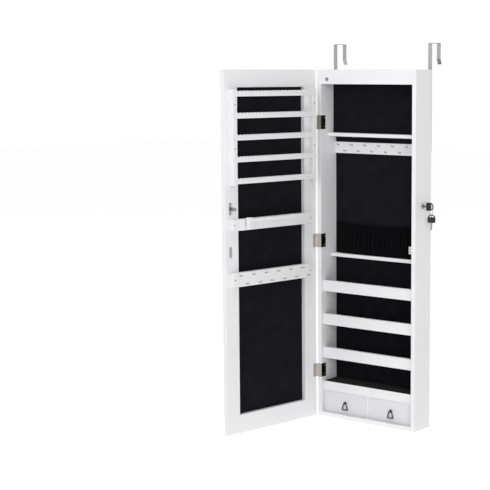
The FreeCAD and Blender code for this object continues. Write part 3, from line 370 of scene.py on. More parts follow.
def moulded_plastic(name, colour, roughness, grain):
    """Injection-moulded plastic: even colour under the fine grain of the mould's wall."""
    # the grain is drawn at 0.3 to 0.4 mm, coarser than a mould's, so that it shows
    material, tree, shader, place = new_material(name, {"Specular IOR Level": 0.4})
    spark = add(tree, "ShaderNodeTexNoise", {"Vector": place, "Scale": per_metre(grain), "Detail": 4.0})
    flow = add(tree, "ShaderNodeTexNoise", {"Vector": place, "Scale": per_metre(0.008), "Detail": 2.0})
    tone = add(tree, "ShaderNodeMix", {0: flow.outputs["Fac"], 6: rgba(colour),
                                       7: rgba(tuple(1.25 * c for c in colour))}, data_type="RGBA")
    gloss = add(tree, "ShaderNodeMapRange", {"Value": flow.outputs["Fac"], "To Min": roughness - 0.06,
                                             "To Max": roughness + 0.06})
    relief = add(tree, "ShaderNodeBump", {"Height": spark.outputs["Fac"], "Strength": 0.25,
                                          "Distance": 0.00005})
    connect(tree, shader, {"Base Color": tone.outputs[2], "Roughness": gloss.outputs["Result"],
                           "Normal": relief.outputs["Normal"]})
    return material


def key_plastic():
    """Glossy black ABS over the head of a key."""
    return moulded_plastic("Glossy black moulded ABS", colours().key_black, 0.3, 0.0004)


def catch_plastic():
    """Pale grey polypropylene of a magnetic catch, matt from its mould."""
    return moulded_plastic("Pale grey moulded polypropylene", colours().catch_grey, 0.5, 0.0003)


def switch_plastic():
    """Dark nylon of a push switch."""
    return moulded_plastic("Dark moulded nylon", colours().switch_black, 0.45, 0.0003)


def lacquered_zinc():
    """Die-cast zinc under black lacquer: a soft gloss pooled over slight casting ripples."""
    material, tree, shader, place = new_material("Black lacquer on die-cast zinc", {
        "Specular IOR Level": 0.5, "Coat Weight": 0.4, "Coat Roughness": 0.18})
    ripple = add(tree, "ShaderNodeTexNoise", {"Vector": place, "Scale": per_metre(0.0025), "Detail": 3.0})
    wear = add(tree, "ShaderNodeTexNoise", {"Vector": place, "Scale": per_metre(0.006), "Detail": 6.0})
    tone = add(tree, "ShaderNodeMix", {0: wear.outputs["Fac"], 6: rgba(colours().pull_black),
                                       7: rgba(tuple(1.5 * c for c in colours().pull_black))},
               data_type="RGBA")
    gloss = add(tree, "ShaderNodeMapRange", {"Value": wear.outputs["Fac"], "To Min": 0.26, "To Max": 0.42})
    relief = add(tree, "ShaderNodeBump", {"Height": ripple.outputs["Fac"], "Strength": 0.2,
                                          "Distance": 0.0001})
    connect(tree, shader, {"Base Color": tone.outputs[2], "Roughness": gloss.outputs["Result"],
                           "Normal": relief.outputs["Normal"]})
    return material


def studio_floor():
    """Matt painted studio floor, with only a trace of roller texture."""
    material, tree, shader, place = new_material("Matt white studio paint", {
        "Roughness": 0.95, "Specular IOR Level": 0.1, "Emission Color": (1.0, 1.0, 1.0, 1.0),
        "Emission Strength": FLOOR_GLOW})
    roller = add(tree, "ShaderNodeTexNoise", {"Vector": place, "Scale": per_metre(0.004), "Detail": 2.0})
    tone = add(tree, "ShaderNodeMix", {0: roller.outputs["Fac"], 6: rgba(colours().floor),
                                       7: rgba(tuple(0.995 * c for c in colours().floor))},
               data_type="RGBA")
    connect(tree, shader, {"Base Color": tone.outputs[2]})
    return material


MATERIAL_MAKERS = {
    "white_lacquer": sprayed_lacquer, "black_felt": flocked_felt, "black_cloth": woven_cloth,
    "mirror_glass": silvered_glass, "hinge_nickel": nickel_plate, "strap_zinc": zinc_plate,
    "lock_chrome": chrome_plate, "key_black": key_plastic, "pull_black": lacquered_zinc,
    "screw_steel": screw_steel, "catch_plastic": catch_plastic, "switch_black": switch_plastic,
    "drawer_shaded_lacquer": drawer_shaded_lacquer, "hook_wire": nickel_wire,
    "satin_nickel_painted_lit": satin_nickel_painted_lit, "floor": studio_floor,
}
# nodes whose look differs from the rest of their slot
LOOKS = {"drawer_front_left": "drawer_shaded_lacquer", "drawer_front_right": "drawer_shaded_lacquer",
         "hinge_leaves_case": "satin_nickel_painted_lit", "hinge_leaves_door": "satin_nickel_painted_lit",
         "hinge_pins": "satin_nickel_painted_lit", "lock_plug": "hook_wire"}
MADE = {}


def material_for(slot):
    """The material of one of the record's slots, made when it is first asked for."""
    if slot not in MADE:
        MADE[slot] = MATERIAL_MAKERS[slot]()
    return MADE[slot]


# ---------------------------------------------------------------- making and placing meshes
def door_turn():
    """The turn from the closed door to the door as the frame stores it."""
    hinge = JOINTS["door_hinge"]
    pin = Matrix.Translation(Vector(hinge["pos_m"]))
    swing = Matrix.Rotation(math.radians(-hinge["range_deg"][0]), 4, Vector(hinge["axis"]))
    return pin @ swing @ pin.inverted()


def solids(node, turn=Matrix()):
    """The box of each separate solid of a node, as it lies before a turn."""
    shape = bmesh.new()
    shape.from_mesh(NODES[node].data)
    shape.transform(turn.inverted())
    bmesh.ops.remove_doubles(shape, verts=shape.verts, dist=1e-6)
    waiting = set(shape.verts)
    boxes = []
    while waiting:
        stack = [waiting.pop()]
        places = []
        while stack:
            vertex = stack.pop()
            places.append(vertex.co.copy())
            near = {edge.other_vert(vertex) for edge in vertex.link_edges} & waiting
            waiting -= near
            stack += near
        low = Vector([min(p[i] for p in places) for i in range(3)])
        high = Vector([max(p[i] for p in places) for i in range(3)])
        boxes.append((low, high))
    shape.free()
    return sorted(boxes, key=lambda box: [round(c, 4) for c in box[0]])


def place_piece(name, mesh, slot, body, replaced=(), look=None):
    """Put a finished mesh in the scene on its body, with its slot's material or a look of its own."""
    piece = bpy.data.objects.new(name, mesh)
    bpy.context.scene.collection.objects.link(piece)
    mesh.materials.clear()
    mesh.materials.append(material_for(look or slot))
    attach(piece, body)
    if replaced:
        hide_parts(*replaced)
    return piece


def finished(shape, name):
    """The mesh of a worked shape, which is then freed."""
    mesh = bpy.data.meshes.new(name)
    shape.to_mesh(mesh)
    shape.free()
    return mesh


def skin(shape, rows):
    """Faces between neighbouring rows of vertices."""
    for lower, upper in zip(rows, rows[1:]):
        for k in range(len(lower) - 1):
            shape.faces.new((lower[k], lower[k + 1], upper[k + 1], upper[k]))


def shade(mesh, sharp):
    """Smooth shading, with every edge that turns more than this many degrees kept crisp."""
    mesh.shade_smooth()
    mesh.set_sharp_from_angle(angle=math.radians(sharp))


def joined(meshes):
    """Several meshes as one."""
    shape = bmesh.new()
    for mesh in meshes:
        shape.from_mesh(mesh)
        bpy.data.meshes.remove(mesh)
    return finished(shape, "joined")


def moved(mesh, matrix):
    """A copy of a mesh under a matrix."""
    copy = mesh.copy()
    copy.transform(matrix)
    return copy


def plank(low, high, ease, steps=2):
    """A board between two corners with rounded edges."""
    shape = bmesh.new()
    bmesh.ops.create_cube(shape, size=1.0)
    size = Vector(high) - Vector(low)
    middle = (Vector(high) + Vector(low)) / 2
    shape.transform(Matrix.Translation(middle) @ Matrix.Diagonal((*size, 1.0)))
    bmesh.ops.bevel(shape, geom=shape.edges[:], offset=ease, segments=steps, affect="EDGES", profile=0.5)
    return finished(shape, "plank")


def lathe(profile, steps=48):
    """A turned shape round Z from (radius, height) points; a radius of 0 closes an end."""
    shape = bmesh.new()
    rings = []
    for radius, height in profile:
        count = steps if radius > 0 else 1
        ring = []
        for k in range(count):
            angle = 2 * math.pi * k / steps
            ring.append(shape.verts.new((radius * math.cos(angle), radius * math.sin(angle), height)))
        rings.append(ring)
    for lower, upper in zip(rings, rings[1:]):
        for k in range(steps):
            corners = [lower[k % len(lower)], lower[(k + 1) % len(lower)],
                       upper[(k + 1) % len(upper)], upper[k % len(upper)]]
            shape.faces.new(list(dict.fromkeys(corners)))
    bmesh.ops.recalc_face_normals(shape, faces=shape.faces)
    mesh = finished(shape, "turned")
    shade(mesh, 35)
    return mesh


def mesh_of(curve):
    """The mesh of a curve, which is then thrown away."""
    holder = bpy.data.objects.new(curve.name, curve)
    mesh = bpy.data.meshes.new_from_object(holder)
    bpy.data.objects.remove(holder)
    bpy.data.curves.remove(curve)
    return mesh


def add_path(curve, path, closed):
    """Add a path of points to a curve as one smooth-shaded spline."""
    spline = curve.splines.new("POLY")
    spline.points.add(len(path) - 1)
    for point, place in zip(spline.points, path):
        point.co = (*place, 1.0)
    spline.use_cyclic_u = closed
    spline.use_smooth = True


def wire(paths, diameter, closed=False):
    """Round wire along each path, as one mesh."""
    curve = bpy.data.curves.new("wire", "CURVE")
    curve.dimensions = "3D"
    curve.bevel_depth = diameter / 2
    curve.bevel_resolution = 5
    curve.use_fill_caps = True
    for path in paths:
        add_path(curve, path, closed)
    return mesh_of(curve)


def stamped(outlines, thickness, ease):
    """A plate in the XY plane from outlines, holes included, with eased edges."""
    curve = bpy.data.curves.new("plate", "CURVE")
    curve.dimensions = "2D"
    curve.fill_mode = "BOTH"
    curve.extrude = thickness / 2 - ease
    curve.bevel_depth = ease
    curve.bevel_resolution = 3
    curve.offset = -ease
    for outline in outlines:
        add_path(curve, [(x, y, 0.0) for x, y in outline], True)
    return mesh_of(curve)


def rounded(points, reach, closed=False, steps=7):
    """A path with each corner replaced by a smooth bend that starts this far from it."""
    path = [Vector(p) for p in points]
    out = []
    for i, corner in enumerate(path):
        if not closed and i in (0, len(path) - 1):
            out.append(corner)
            continue
        before = corner + (path[i - 1] - corner).normalized() * reach
        after = corner + (path[(i + 1) % len(path)] - corner).normalized() * reach
        for k in range(steps + 1):
            t = k / steps
            out.append(before.lerp(corner, t).lerp(corner.lerp(after, t), t))
    return out


def cut(mesh, tool):
    """What is left of a mesh once the tool's shape is taken away."""
    body = bpy.data.objects.new("body", mesh)
    cutter = bpy.data.objects.new("cutter", tool)
    for item in (body, cutter):
        bpy.context.scene.collection.objects.link(item)
    modifier = body.modifiers.new("cut", "BOOLEAN")
    modifier.object = cutter
    modifier.solver = "EXACT"
    graph = bpy.context.evaluated_depsgraph_get()
    result = bpy.data.meshes.new_from_object(body.evaluated_get(graph))
    for item in (body, cutter):
        bpy.data.objects.remove(item)
    bpy.data.meshes.remove(tool)
    if not result.polygons:
        raise RuntimeError("nothing was left of " + mesh.name)
    return result


def ease_node(node, width):
    """Soften a CAD node's edges with a bevel that leaves its flat faces alone."""
    bevel = NODES[node].modifiers.new("eased edges", "BEVEL")
    bevel.width = width
    bevel.segments = 2
    bevel.limit_method = "ANGLE"
    bevel.angle_limit = math.radians(40)
    bevel.harden_normals = False


# ---------------------------------------------------------------- pieces
# metres: how far a flush screw head sinks into its plate, and screws from the edges of their plates
SEATED = 0.00002
LEAF_SCREW_INSET = 0.0055
KEEPER_SCREW_INSET = 0.0045
# the least X part of a normal that faces the inside of the case
FACING_IN = 0.9
# a tray's board and lip, and the gaps that its felt leaves to them
TRAY_BOARD = 0.009
TRAY_LIP = 0.0123
FELT_SIDE_GAP = 0.0006
FELT_FRONT_GAP = 0.0004
FELT_BACK_GAP = 0.0002
# what the pouch's cloth leaves free inside the box of its solid
POUCH_SIDE_GAP = 0.0012
POUCH_BACK_GAP = 0.0014
POUCH_FRONT_GAP = 0.0008
POUCH_SHELF_GAP = 0.0004
POUCH_RIM_GAP = 0.0006
# a key's moulded head
KEY_HEAD_LENGTH = 0.028
KEY_HEAD_WIDTH = 0.027


def dress_nodes():
    """Give every CAD node its slot's material and soften the edges of boards and metal."""
    slots = {part["node"]: part["material_slot"] for part in frame["record"]["subparts"]}
    for node, item in NODES.items():
        item.data.materials.clear()
        look = LOOKS.get(node, slots[node])
        item.data.materials.append(material_for(look))
        for face in item.data.polygons:
            face.material_index = 0
        if node == "hinge_leaves_case":
            # the leaves' inner faces take the glossier, darker nickel to mirror the black lining: painted shade
            # against the paler outer faces
            item.data.materials.append(material_for("hinge_nickel"))
            for face in item.data.polygons:
                if face.normal.x > FACING_IN:
                    face.material_index = 1
        if slots[node] == "white_lacquer":
            ease_node(node, sizes().board_ease)
        elif slots[node] in ("strap_zinc", "hinge_nickel", "lock_chrome", "pull_black", "switch_black"):
            ease_node(node, sizes().metal_ease)


def build_hooks():
    """Necklace hooks of bent wire with a ball end, each through a small pressed collar."""
    wire_size = sizes().hook_wire
    half = wire_size / 2
    rose = sizes().hook_rosette / 2
    turn = door_turn()
    for node, body, out in (("necklace_hooks_case", "case", -1.0), ("necklace_hooks_door", "door", 1.0)):
        place = turn if body == "door" else Matrix()
        parts = []
        for low, high in solids(node, place):
            x = (low.x + high.x) / 2
            root = high.y if out < 0 else low.y
            tip = root + out * (high.y - low.y - half)
            z = low.z + half
            end = high.z - half
            path = rounded([(x, root, z), (x, tip, z), (x, tip, end)], sizes().hook_bend)
            parts.append(wire([path], wire_size))
            ball = lathe([(0, half), (half * 0.6, half * 0.85), (half, half * 0.1),
                          (half * 0.7, -half * 0.8), (0, -half)], 16)
            ball.transform(Matrix.Translation((x, tip, end)))
            parts.append(ball)
            collar = lathe([(0, 0), (rose, 0), (rose, 0.0003), (rose * 0.7, 0.0009), (half, 0.001),
                            (0, 0.001)], 28)
            collar.transform(Matrix.Translation((x, root, z))
                             @ Matrix.Rotation(math.radians(-90 * out), 4, "X"))
            parts.append(collar)
        mesh = joined(parts)
        mesh.transform(place)
        place_piece(node + "_wire", mesh, "lock_chrome", body, (node,), "hook_wire")


def screw_mesh(diameter, height):
    """A cross-recessed screw head standing on the XY plane."""
    r = diameter / 2
    sunk = 0.0002
    head = lathe([(0, -sunk), (r, -sunk), (r, height * 0.25), (r * 0.86, height * 0.7),
                  (r * 0.55, height), (0, height)], 32)
    arm, wide, deep = r * 0.55, r * 0.17, max(height * 0.62, sunk)
    bars = []
    for size in ((arm, wide), (wide, arm)):
        low = (-size[0], -size[1], height - deep)
        bars.append(plank(low, (size[0], size[1], height + 0.001), wide * 0.3, 1))
    for bar in bars:
        head = cut(head, bar)
    shade(head, 35)
    return head


def facing(direction):
    """The turn that points Z along a direction."""
    return Vector(direction).to_track_quat("Z", "Y").to_matrix().to_4x4()


def at_rest(start, spread, height):
    """The turn in which a screw's cross came to stop, its own at each height."""
    return Matrix.Rotation(start + spread * height, 4, "Z")


def build_screws():
    """Cross-recessed screws where the CAD has plain heads, and those of leaves, plates and catch."""
    turn = door_turn()
    domed = screw_mesh(0.005, 0.001)
    flush = screw_mesh(0.005, 0.0003)
    low_flush = screw_mesh(0.0042, 0.00012)

    parts = []
    for low, high in solids("screws_case"):
        middle = (low + high) / 2
        if high.x - low.x < high.y - low.y:
            spot = Matrix.Translation((low.x, middle.y, middle.z)) @ facing((1, 0, 0))
            parts.append(moved(flush, spot @ at_rest(0.4, 31, middle.z)))
        else:
            spot = Matrix.Translation((middle.x, low.y, middle.z)) @ facing((0, 1, 0))
            parts.append(moved(domed, spot @ at_rest(0.4, 31, middle.z)))
    place_piece("screws_case_crossed", joined(parts), "screw_steel", "case", ("screws_case",))

    parts = []
    for low, high in solids("screws_door", turn):
        middle = (low + high) / 2
        spot = Matrix.Translation((middle.x, low.y, middle.z)) @ facing((0, 1, 0))
        parts.append(moved(domed, spot @ at_rest(0.3, 17, middle.z)))
    mesh = joined(parts)
    mesh.transform(turn)
    place_piece("screws_door_crossed", mesh, "screw_steel", "door", ("screws_door",))

    parts = []
    for low, high in solids("hinge_leaves_door", turn):
        reach = (high.z - low.z) * 0.32
        for side in (-1, 1):
            spot = (high.x - LEAF_SCREW_INSET, high.y - SEATED, (low.z + high.z) / 2 + side * reach)
            parts.append(moved(low_flush, Matrix.Translation(spot) @ facing((0, 1, 0))))
    # each plate's thickness, and how far its screws lie from its ends
    for node, plate, inset in (("strike_plate", 0.001, 0.0065), ("lock_keeper", 0.0015, 0.006)):
        low, high = solids(node, turn)[0]
        middle = low.x + KEEPER_SCREW_INSET if node == "lock_keeper" else (low.x + high.x) / 2
        for z in (low.z + inset, high.z - inset):
            spot = Matrix.Translation((middle, low.y + plate - SEATED, z))
            parts.append(moved(low_flush, spot @ facing((0, 1, 0))))
    mesh = joined(parts)
    mesh.transform(turn)
    place_piece("screws_door_flush", mesh, "screw_steel", "door")
    for mesh in (domed, flush, low_flush):
        bpy.data.meshes.remove(mesh)


def wedge(middle, half_mouth, half_foot, depth, front, back):
    """A tool that opens a notch into a flared mouth: its top centre is at middle."""
    x, top = middle
    outline = [(x - half_mouth, top), (x + half_mouth, top), (x + half_foot, top - depth),
               (x - half_foot, top - depth)]
    shape = bmesh.new()
    near = [shape.verts.new((u, front, z)) for u, z in outline]
    far = [shape.verts.new((u, back, z)) for u, z in outline]
    shape.faces.new(near)
    shape.faces.new(far[::-1])
    for k in range(4):
        shape.faces.new((near[k], far[k], far[(k + 1) % 4], near[(k + 1) % 4]))
    bmesh.ops.recalc_face_normals(shape, faces=shape.faces)
    return finished(shape, "wedge")


def build_earring_bars():
    """The notched bars with flared mouths and a second row of small holes for studs."""
    turn = door_turn()
    pitch, radius = sizes().notch_pitch, sizes().stud_hole / 2
    # how far the tools run past the wood and above it, and a notch's half foot and depth
    past, above = 0.001, 0.0005
    half_foot, flare = 0.0013, 0.0043
    parts = []
    strip = solids("rack_strip_hinge", turn)[0]
    other = solids("rack_strip_free", turn)[0]
    left, right = strip[1].x + pitch / 2, other[0].x - pitch / 2
    middle = (left + right) / 2
    count = int((right - left) / pitch)
    for low, high in solids("earring_bars", turn):
        z = high.z - sizes().stud_drop
        deep = high.y - low.y
        for k in range(count):
            x = middle + pitch * (k - (count - 1) / 2)
            drill = lathe([(0, -past), (radius, -past), (radius, deep + past), (0, deep + past)], 12)
            drill.transform(Matrix.Translation((x, low.y, z)) @ facing((0, 1, 0)))
            parts.append(drill)
        for k in range(count + 1):
            x = middle + pitch * (k - count / 2)
            parts.append(wedge((x, high.z + above), sizes().notch_mouth / 2 + above, half_foot,
                               flare, low.y - past, high.y + past))
    tool = joined(parts)
    bars = NODES["earring_bars"].data.copy()
    bars.transform(turn.inverted())
    mesh = cut(bars, tool)
    # the CAD's own normals smear over a drilled face, and these bars are flat all over
    mesh.attributes.remove(mesh.attributes["custom_normal"])
    mesh.shade_flat()
    mesh.transform(turn)
    place_piece("earring_bars_drilled", mesh, "white_lacquer", "door", ("earring_bars",))


def drift(u, v, across, up, layer):
    """Smooth noise over a sheet, with about so many humps across and up, cut at one layer."""
    return noise.noise(Vector((u * across, v * up, layer)))


def pouch_cloth(low, high):
    """The gathered front of the pouch as rows of points, from the shelf up to the frill."""
    across, up = 640, 56
    # the elastic band: its middle, how it fades up and down, and its foot, as shares of the height
    band_height, band_spread, band_foot = 0.9, 0.045, 0.86
    # how far the rim stands out, as a share of the pouch's depth
    rim_share = 0.46
    # how far the gathers stray, in turns, and how much their depths differ, as a share
    stray, differ = 0.55, 0.45
    # metres: a gather is this much shallower in the belly, the elastic pulls in, and the rim sags
    slack, pull_in, rim_sag = 0.0009, 0.0018, 0.0042
    left, right = low.x + POUCH_SIDE_GAP, high.x - POUCH_SIDE_GAP
    back = high.y - POUCH_BACK_GAP
    floor, rim = low.z + POUCH_SHELF_GAP, high.z - POUCH_RIM_GAP
    base_bulge = high.y - low.y - POUCH_FRONT_GAP
    rim_bulge = (high.y - low.y) * rim_share
    grid = []
    for j in range(up + 1):
        v = j / up
        band = math.exp(-((v - band_height) / band_spread) ** 2)
        loose = math.sin(math.pi * (v / band_foot)) ** 0.7 if v < band_foot else 0.0
        row = []
        for i in range(across + 1):
            u = i / across
            x = left + (right - left) * u
            arch = 1.0 - (2 * u - 1) ** 6
            # the tight gathers of the elastic run into each other in pairs, and lean, as they fall
            wander = drift(u, v, 11, 0.8, 3.7)
            turns = (right - left) * u / sizes().gather + stray * wander
            uneven = 1.0 + differ * drift(u, v, 37, 1.2, 8.1)
            tight = (sizes().tuck - slack * loose) * uneven
            wide = sizes().fold * loose * uneven
            depth = tight * (0.5 + 0.5 * math.sin(2 * math.pi * turns))
            depth += wide * (0.5 + 0.5 * math.sin(math.pi * turns + 2.0 * wander))
            bulge = base_bulge + (rim_bulge - base_bulge) * v ** 0.8 - pull_in * band
            y = back - arch * (bulge - depth)
            sag = rim_sag * math.sin(math.pi * u) ** 1.4 * v ** 3
            row.append(Vector((x, y, floor + (rim - floor) * v - sag)))
        grid.append(row)
    return grid


def build_pouch():
    """The pouch: one gathered sheet with its elastic band, open at the top against the lining."""
    low, high = solids("pouch")[0]
    shape = bmesh.new()
    rows = [[shape.verts.new(p) for p in row] for row in pouch_cloth(low, high)]
    skin(shape, rows)
    bmesh.ops.recalc_face_normals(shape, faces=shape.faces)
    mesh = finished(shape, "pouch_cloth")
    mesh.shade_smooth()
    piece = place_piece("pouch_cloth", mesh, "black_cloth", "case", ("pouch",))
    cloth = piece.modifiers.new("cloth thickness", "SOLIDIFY")
    cloth.thickness = sizes().cloth
    cloth.offset = 0.0


def build_pad():
    """The pinning pad: foam under felt, crowned to its face and drawn in along the edges."""
    low, high = solids("brooch_pad")[0]
    # metres: the crown's height and the foam's lumps; the higher a fall, the nearer to the edge it is
    crown, lumps = 0.0032, 0.0003
    side_fall, end_fall = 14, 9
    across, up = 90, 50
    shape = bmesh.new()
    rows = []
    for j in range(up + 1):
        v = 2 * j / up - 1
        row = []
        for i in range(across + 1):
            u = 2 * i / across - 1
            rise = (1 - abs(u) ** side_fall) * (1 - abs(v) ** end_fall)
            soft = lumps * drift(u, v, 5, 4, 1.3)
            y = low.y + crown * (1 - rise) + abs(soft)
            row.append(shape.verts.new(((low.x + high.x) / 2 + u * (high.x - low.x) / 2, y,
                                        (low.z + high.z) / 2 + v * (high.z - low.z) / 2)))
        rows.append(row)
    skin(shape, rows)
    rim = [edge for edge in shape.edges if edge.is_boundary]
    skirt = bmesh.ops.extrude_edge_only(shape, edges=rim)["geom"]
    for vertex in [item for item in skirt if isinstance(item, bmesh.types.BMVert)]:
        vertex.co.y = high.y
    bmesh.ops.holes_fill(shape, edges=[edge for edge in shape.edges if edge.is_boundary])
    bmesh.ops.recalc_face_normals(shape, faces=shape.faces)
    mesh = finished(shape, "brooch_pad_felt")
    shade(mesh, 50)
    piece = place_piece("brooch_pad_felt", mesh, "black_felt", "case", ("brooch_pad",))


def build_liners():
    """Felt laid on the deck and in the three trays."""
    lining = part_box("back_lining")
    thick = sizes().liner
    for node in ("drawer_deck", "tray_1", "tray_2", "tray_3"):
        low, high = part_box(node)
        floor = high[2] if node == "drawer_deck" else low[2] + TRAY_BOARD
        front = low[1] + (FELT_FRONT_GAP if node == "drawer_deck" else TRAY_LIP)
        start = (low[0] + FELT_SIDE_GAP, front, floor)
        end = (high[0] - FELT_SIDE_GAP, lining[0][1] - FELT_BACK_GAP, floor + thick)
        mesh = plank(start, end, thick * 0.4)
        piece = place_piece(node + "_felt", mesh, "black_felt", "case")


def arc(centre, radius, start, end, steps=24):
    """Points of an arc, its angles in degrees."""
    angles = [math.radians(start + (end - start) * k / steps) for k in range(steps + 1)]
    return [(centre[0] + radius * math.cos(a), centre[1] + radius * math.sin(a)) for a in angles]


def key_head(length, width):
    """A D-shaped moulded head with a kidney slot near its round end, lying in XY."""
    half = width / 2
    foot = 0.0025
    outline = [(-half, foot), (-half + foot, 0), (half - foot, 0), (half, foot)]
    outline += arc((0, length - half), half, 0, 180)
    # the slot's middle lies this far below the round end, and its ends this far out
    inset, out = 0.0075, 0.007
    slot = sizes().key_slot / 2
    centre = length - inset
    run = out - slot
    lift = 0.0010
    # the slot's middle line is an arc through both of its ends and bulging to the round end
    bow = (run ** 2 + lift ** 2) / (2 * lift)
    hub = (0.0, centre + lift - bow)
    swing = math.degrees(math.asin(run / bow))
    # the head's middle rises into the slot, which leaves a crescent
    rise = 0.0013
    inner = []
    for k in range(13):
        share = 1 - k / 6
        angle = math.radians(90 - swing * share)
        reach = bow - slot + rise * (1 - share ** 2)
        inner.append((hub[0] + reach * math.cos(angle), hub[1] + reach * math.sin(angle)))
    outer = arc(hub, bow + slot, 90 + swing, 90 - swing, 12)
    left = arc((-run, centre), slot, 270 + swing, 90 + swing, 10)
    right = arc((run, centre), slot, 90 - swing, -90 - swing, 10)
    edge = 0.0015
    return stamped([outline, inner + left[1:-1] + outer + right[1:-1]], sizes().key_thickness, edge)


def key_blade(length):
    """A flat blade with cut teeth along one side and a milled groove, hanging below its head."""
    half, thick, edge = 0.0035, 0.002, 0.00025
    # each tooth's reach in metres, and its place as a share of the length
    teeth = [(0.0035, 0.0), (0.0035, -0.25), (0.0024, -0.33), (0.003, -0.42), (0.0017, -0.5),
             (0.0026, -0.6), (0.0021, -0.7), (0.0029, -0.8), (0.0019, -0.9), (0.0012, -1.0)]
    outline = [(x, y * length) for x, y in teeth]
    outline += [(-half + 0.0022, -length), (-half, -length * 0.9), (-half, 0.0)]
    blade = stamped([outline[::-1]], thick, edge)
    start = (-0.0016, -length * 0.98, 0.00062)
    groove = plank(start, (-0.0006, -length * 0.08, thick), 0.0001, 1)
    return cut(blade, groove)


def ring_turn():
    """The turn, round an upright axis, of what hangs on the lock's key."""
    axis = JOINTS["key_ring_swing"]["axis"]
    return Matrix.Rotation(math.atan2(axis[1], axis[0]), 4, "Z")


def build_keys():
    """Two keys: black moulded heads on cut steel blades, one in the lock and one on the ring."""
    upright = Matrix.Rotation(math.radians(90), 4, "X")
    for node, body in (("key_in_lock", "lock"), ("key_spare", "spare_key")):
        low, high = solids(node)[0]
        middle = (low + high) / 2
        if node == "key_in_lock":
            origin = Vector((high.x - KEY_HEAD_LENGTH, middle.y, middle.z))
            place = Matrix.Translation(origin) @ Matrix.Rotation(math.radians(90), 4, "Y") @ upright
            blade_length = origin.x - low.x
            width = high.z - low.z
        else:
            origin = Vector((middle.x, middle.y, high.z - KEY_HEAD_LENGTH))
            place = Matrix.Translation(origin) @ ring_turn() @ upright
            blade_length = origin.z - low.z
            # it hangs turned, so its width can't be read from its box
            width = KEY_HEAD_WIDTH
        head = key_head(KEY_HEAD_LENGTH, width)
        head.transform(place)
        shade(head, 40)
        place_piece(node + "_head", head, "key_black", body, (node,))
        blade = key_blade(blade_length)
        blade.transform(place)
        place_piece(node + "_blade", blade, "screw_steel", body)


def build_key_ring():
    """A split ring: two close turns of wire joined by one short crossing."""
    low, high = solids("key_ring")[0]
    middle = (low + high) / 2
    place = Matrix.Translation(middle) @ ring_turn()
    # the wire, and how far its middle runs inside the solid's outer edge
    thick, inside = 0.00078, 0.0008
    radius = (high.z - low.z) / 2 - inside
    # the crossing takes up this angle, and lies this far round from the top, in radians
    gap, start = math.radians(14), 2.2
    steps = 150
    path = []
    for k in range(steps + 1):
        angle = gap / 2 + (4 * math.pi - gap) * k / steps
        crossing = (angle - 2 * math.pi) / (gap / 2)
        side = max(-1.0, min(1.0, crossing)) * thick / 2
        round_by = angle + start
        path.append(place @ Vector((side, radius * math.cos(round_by), radius * math.sin(round_by))))
    mesh = wire([path], thick)
    mesh.shade_smooth()
    place_piece("key_ring_split", mesh, "lock_chrome", "ring", ("key_ring",))


def build_pulls():
    """Ring pulls: a rounded triangle of thick round wire, narrow where it hangs in its eye."""
    for side in ("left", "right"):
        low, high = solids("pull_ring_" + side)[0]
        half_wire = sizes().pull_wire / 2
        x, y = (low.x + high.x) / 2, (low.y + high.y) / 2
        top, foot = high.z - half_wire, low.z + half_wire
        base = (high.x - low.x) / 2 - half_wire
        # half the width at the top, and how round the corners are
        narrow, bend = 0.00445, 0.0036
        corners = [(x - narrow, y, top), (x + narrow, y, top), (x + base, y, foot), (x - base, y, foot)]
        mesh = wire([rounded(corners, bend, True, 9)], sizes().pull_wire, True)
        mesh.shade_smooth()
        place_piece("pull_ring_%s_wire" % side, mesh, "pull_black", "pull_" + side,
                    ("pull_ring_" + side,))


def build_catch():
    """The magnetic catch: a grooved grey housing with two steel pole plates."""
    low, high = solids("magnetic_catch")[0]
    # metres: how far the poles stand proud, a groove's width and depth, and where it starts
    proud, rib, deep, from_front = 0.0005, 0.0012, 0.0005, 0.006
    past, edge = 0.001, 0.0009
    housing = plank((low.x, low.y + proud, low.z), (high.x, high.y, high.z), edge)
    for share in (0.12, 0.5, 0.88):
        z = low.z + (high.z - low.z) * share
        start = (low.x - past, low.y + from_front, z - rib / 2)
        end = (low.x + deep, high.y + past, z + rib / 2)
        groove = plank(start, end, 0.0001, 1)
        housing = cut(housing, groove)
    place_piece("magnetic_catch_housing", housing, "catch_plastic", "case", ("magnetic_catch",))
    inset, half_pole, reach = 0.002, 0.0015, 0.004
    poles = []
    for share in (0.3, 0.7):
        z = low.z + (high.z - low.z) * share
        start = (low.x + inset, low.y, z - half_pole)
        end = (high.x - inset, low.y + reach, z + half_pole)
        poles.append(plank(start, end, 0.0002))
    place_piece("magnetic_catch_poles", joined(poles), "screw_steel", "case")


# ---------------------------------------------------------------- stage
CAMERA_PLACE = (2.5805, -3.7755, 0.5925)
# degrees: up from looking straight down, and round from looking along +Y
CAMERA_TILT = 83.402
CAMERA_TURN = 35.559
CAMERA_LENS = 99.07
CAMERA_SENSOR = 36.0
CAMERA_SHIFT = (-0.22, -0.035)
# the surround looks white, and gives the object less light than that
SURROUND = 1.0
FILL = 0.41
FLOOR_GLOW = 0.59
FLOOR_REACH = 14.0
FLOOR_GAP = 0.0005
# name, place, target, size in metres and power in watts
SOFTBOXES = (
    ("front softbox", (-0.4, -3.8, 1.5), (0, 0, 0), 2.4, 31.0),
    ("right softbox", (3.1, -2.7, 1.3), (0, -0.2, 0), 1.3, 40.0),
    ("overhead softbox", (0.5, -1.6, 3.2), (0, -0.1, 0), 1.6, 38.0),
)


def soft_light(name, place, target, size, watts):
    """A square softbox that faces its target."""
    data = bpy.data.lights.new(name, "AREA")
    data.shape = "SQUARE"
    data.size = size
    data.energy = watts
    lamp = bpy.data.objects.new(name, data)
    lamp.location = place
    lamp.rotation_euler = (Vector(target) - Vector(place)).to_track_quat("-Z", "Y").to_euler()
    bpy.context.scene.collection.objects.link(lamp)


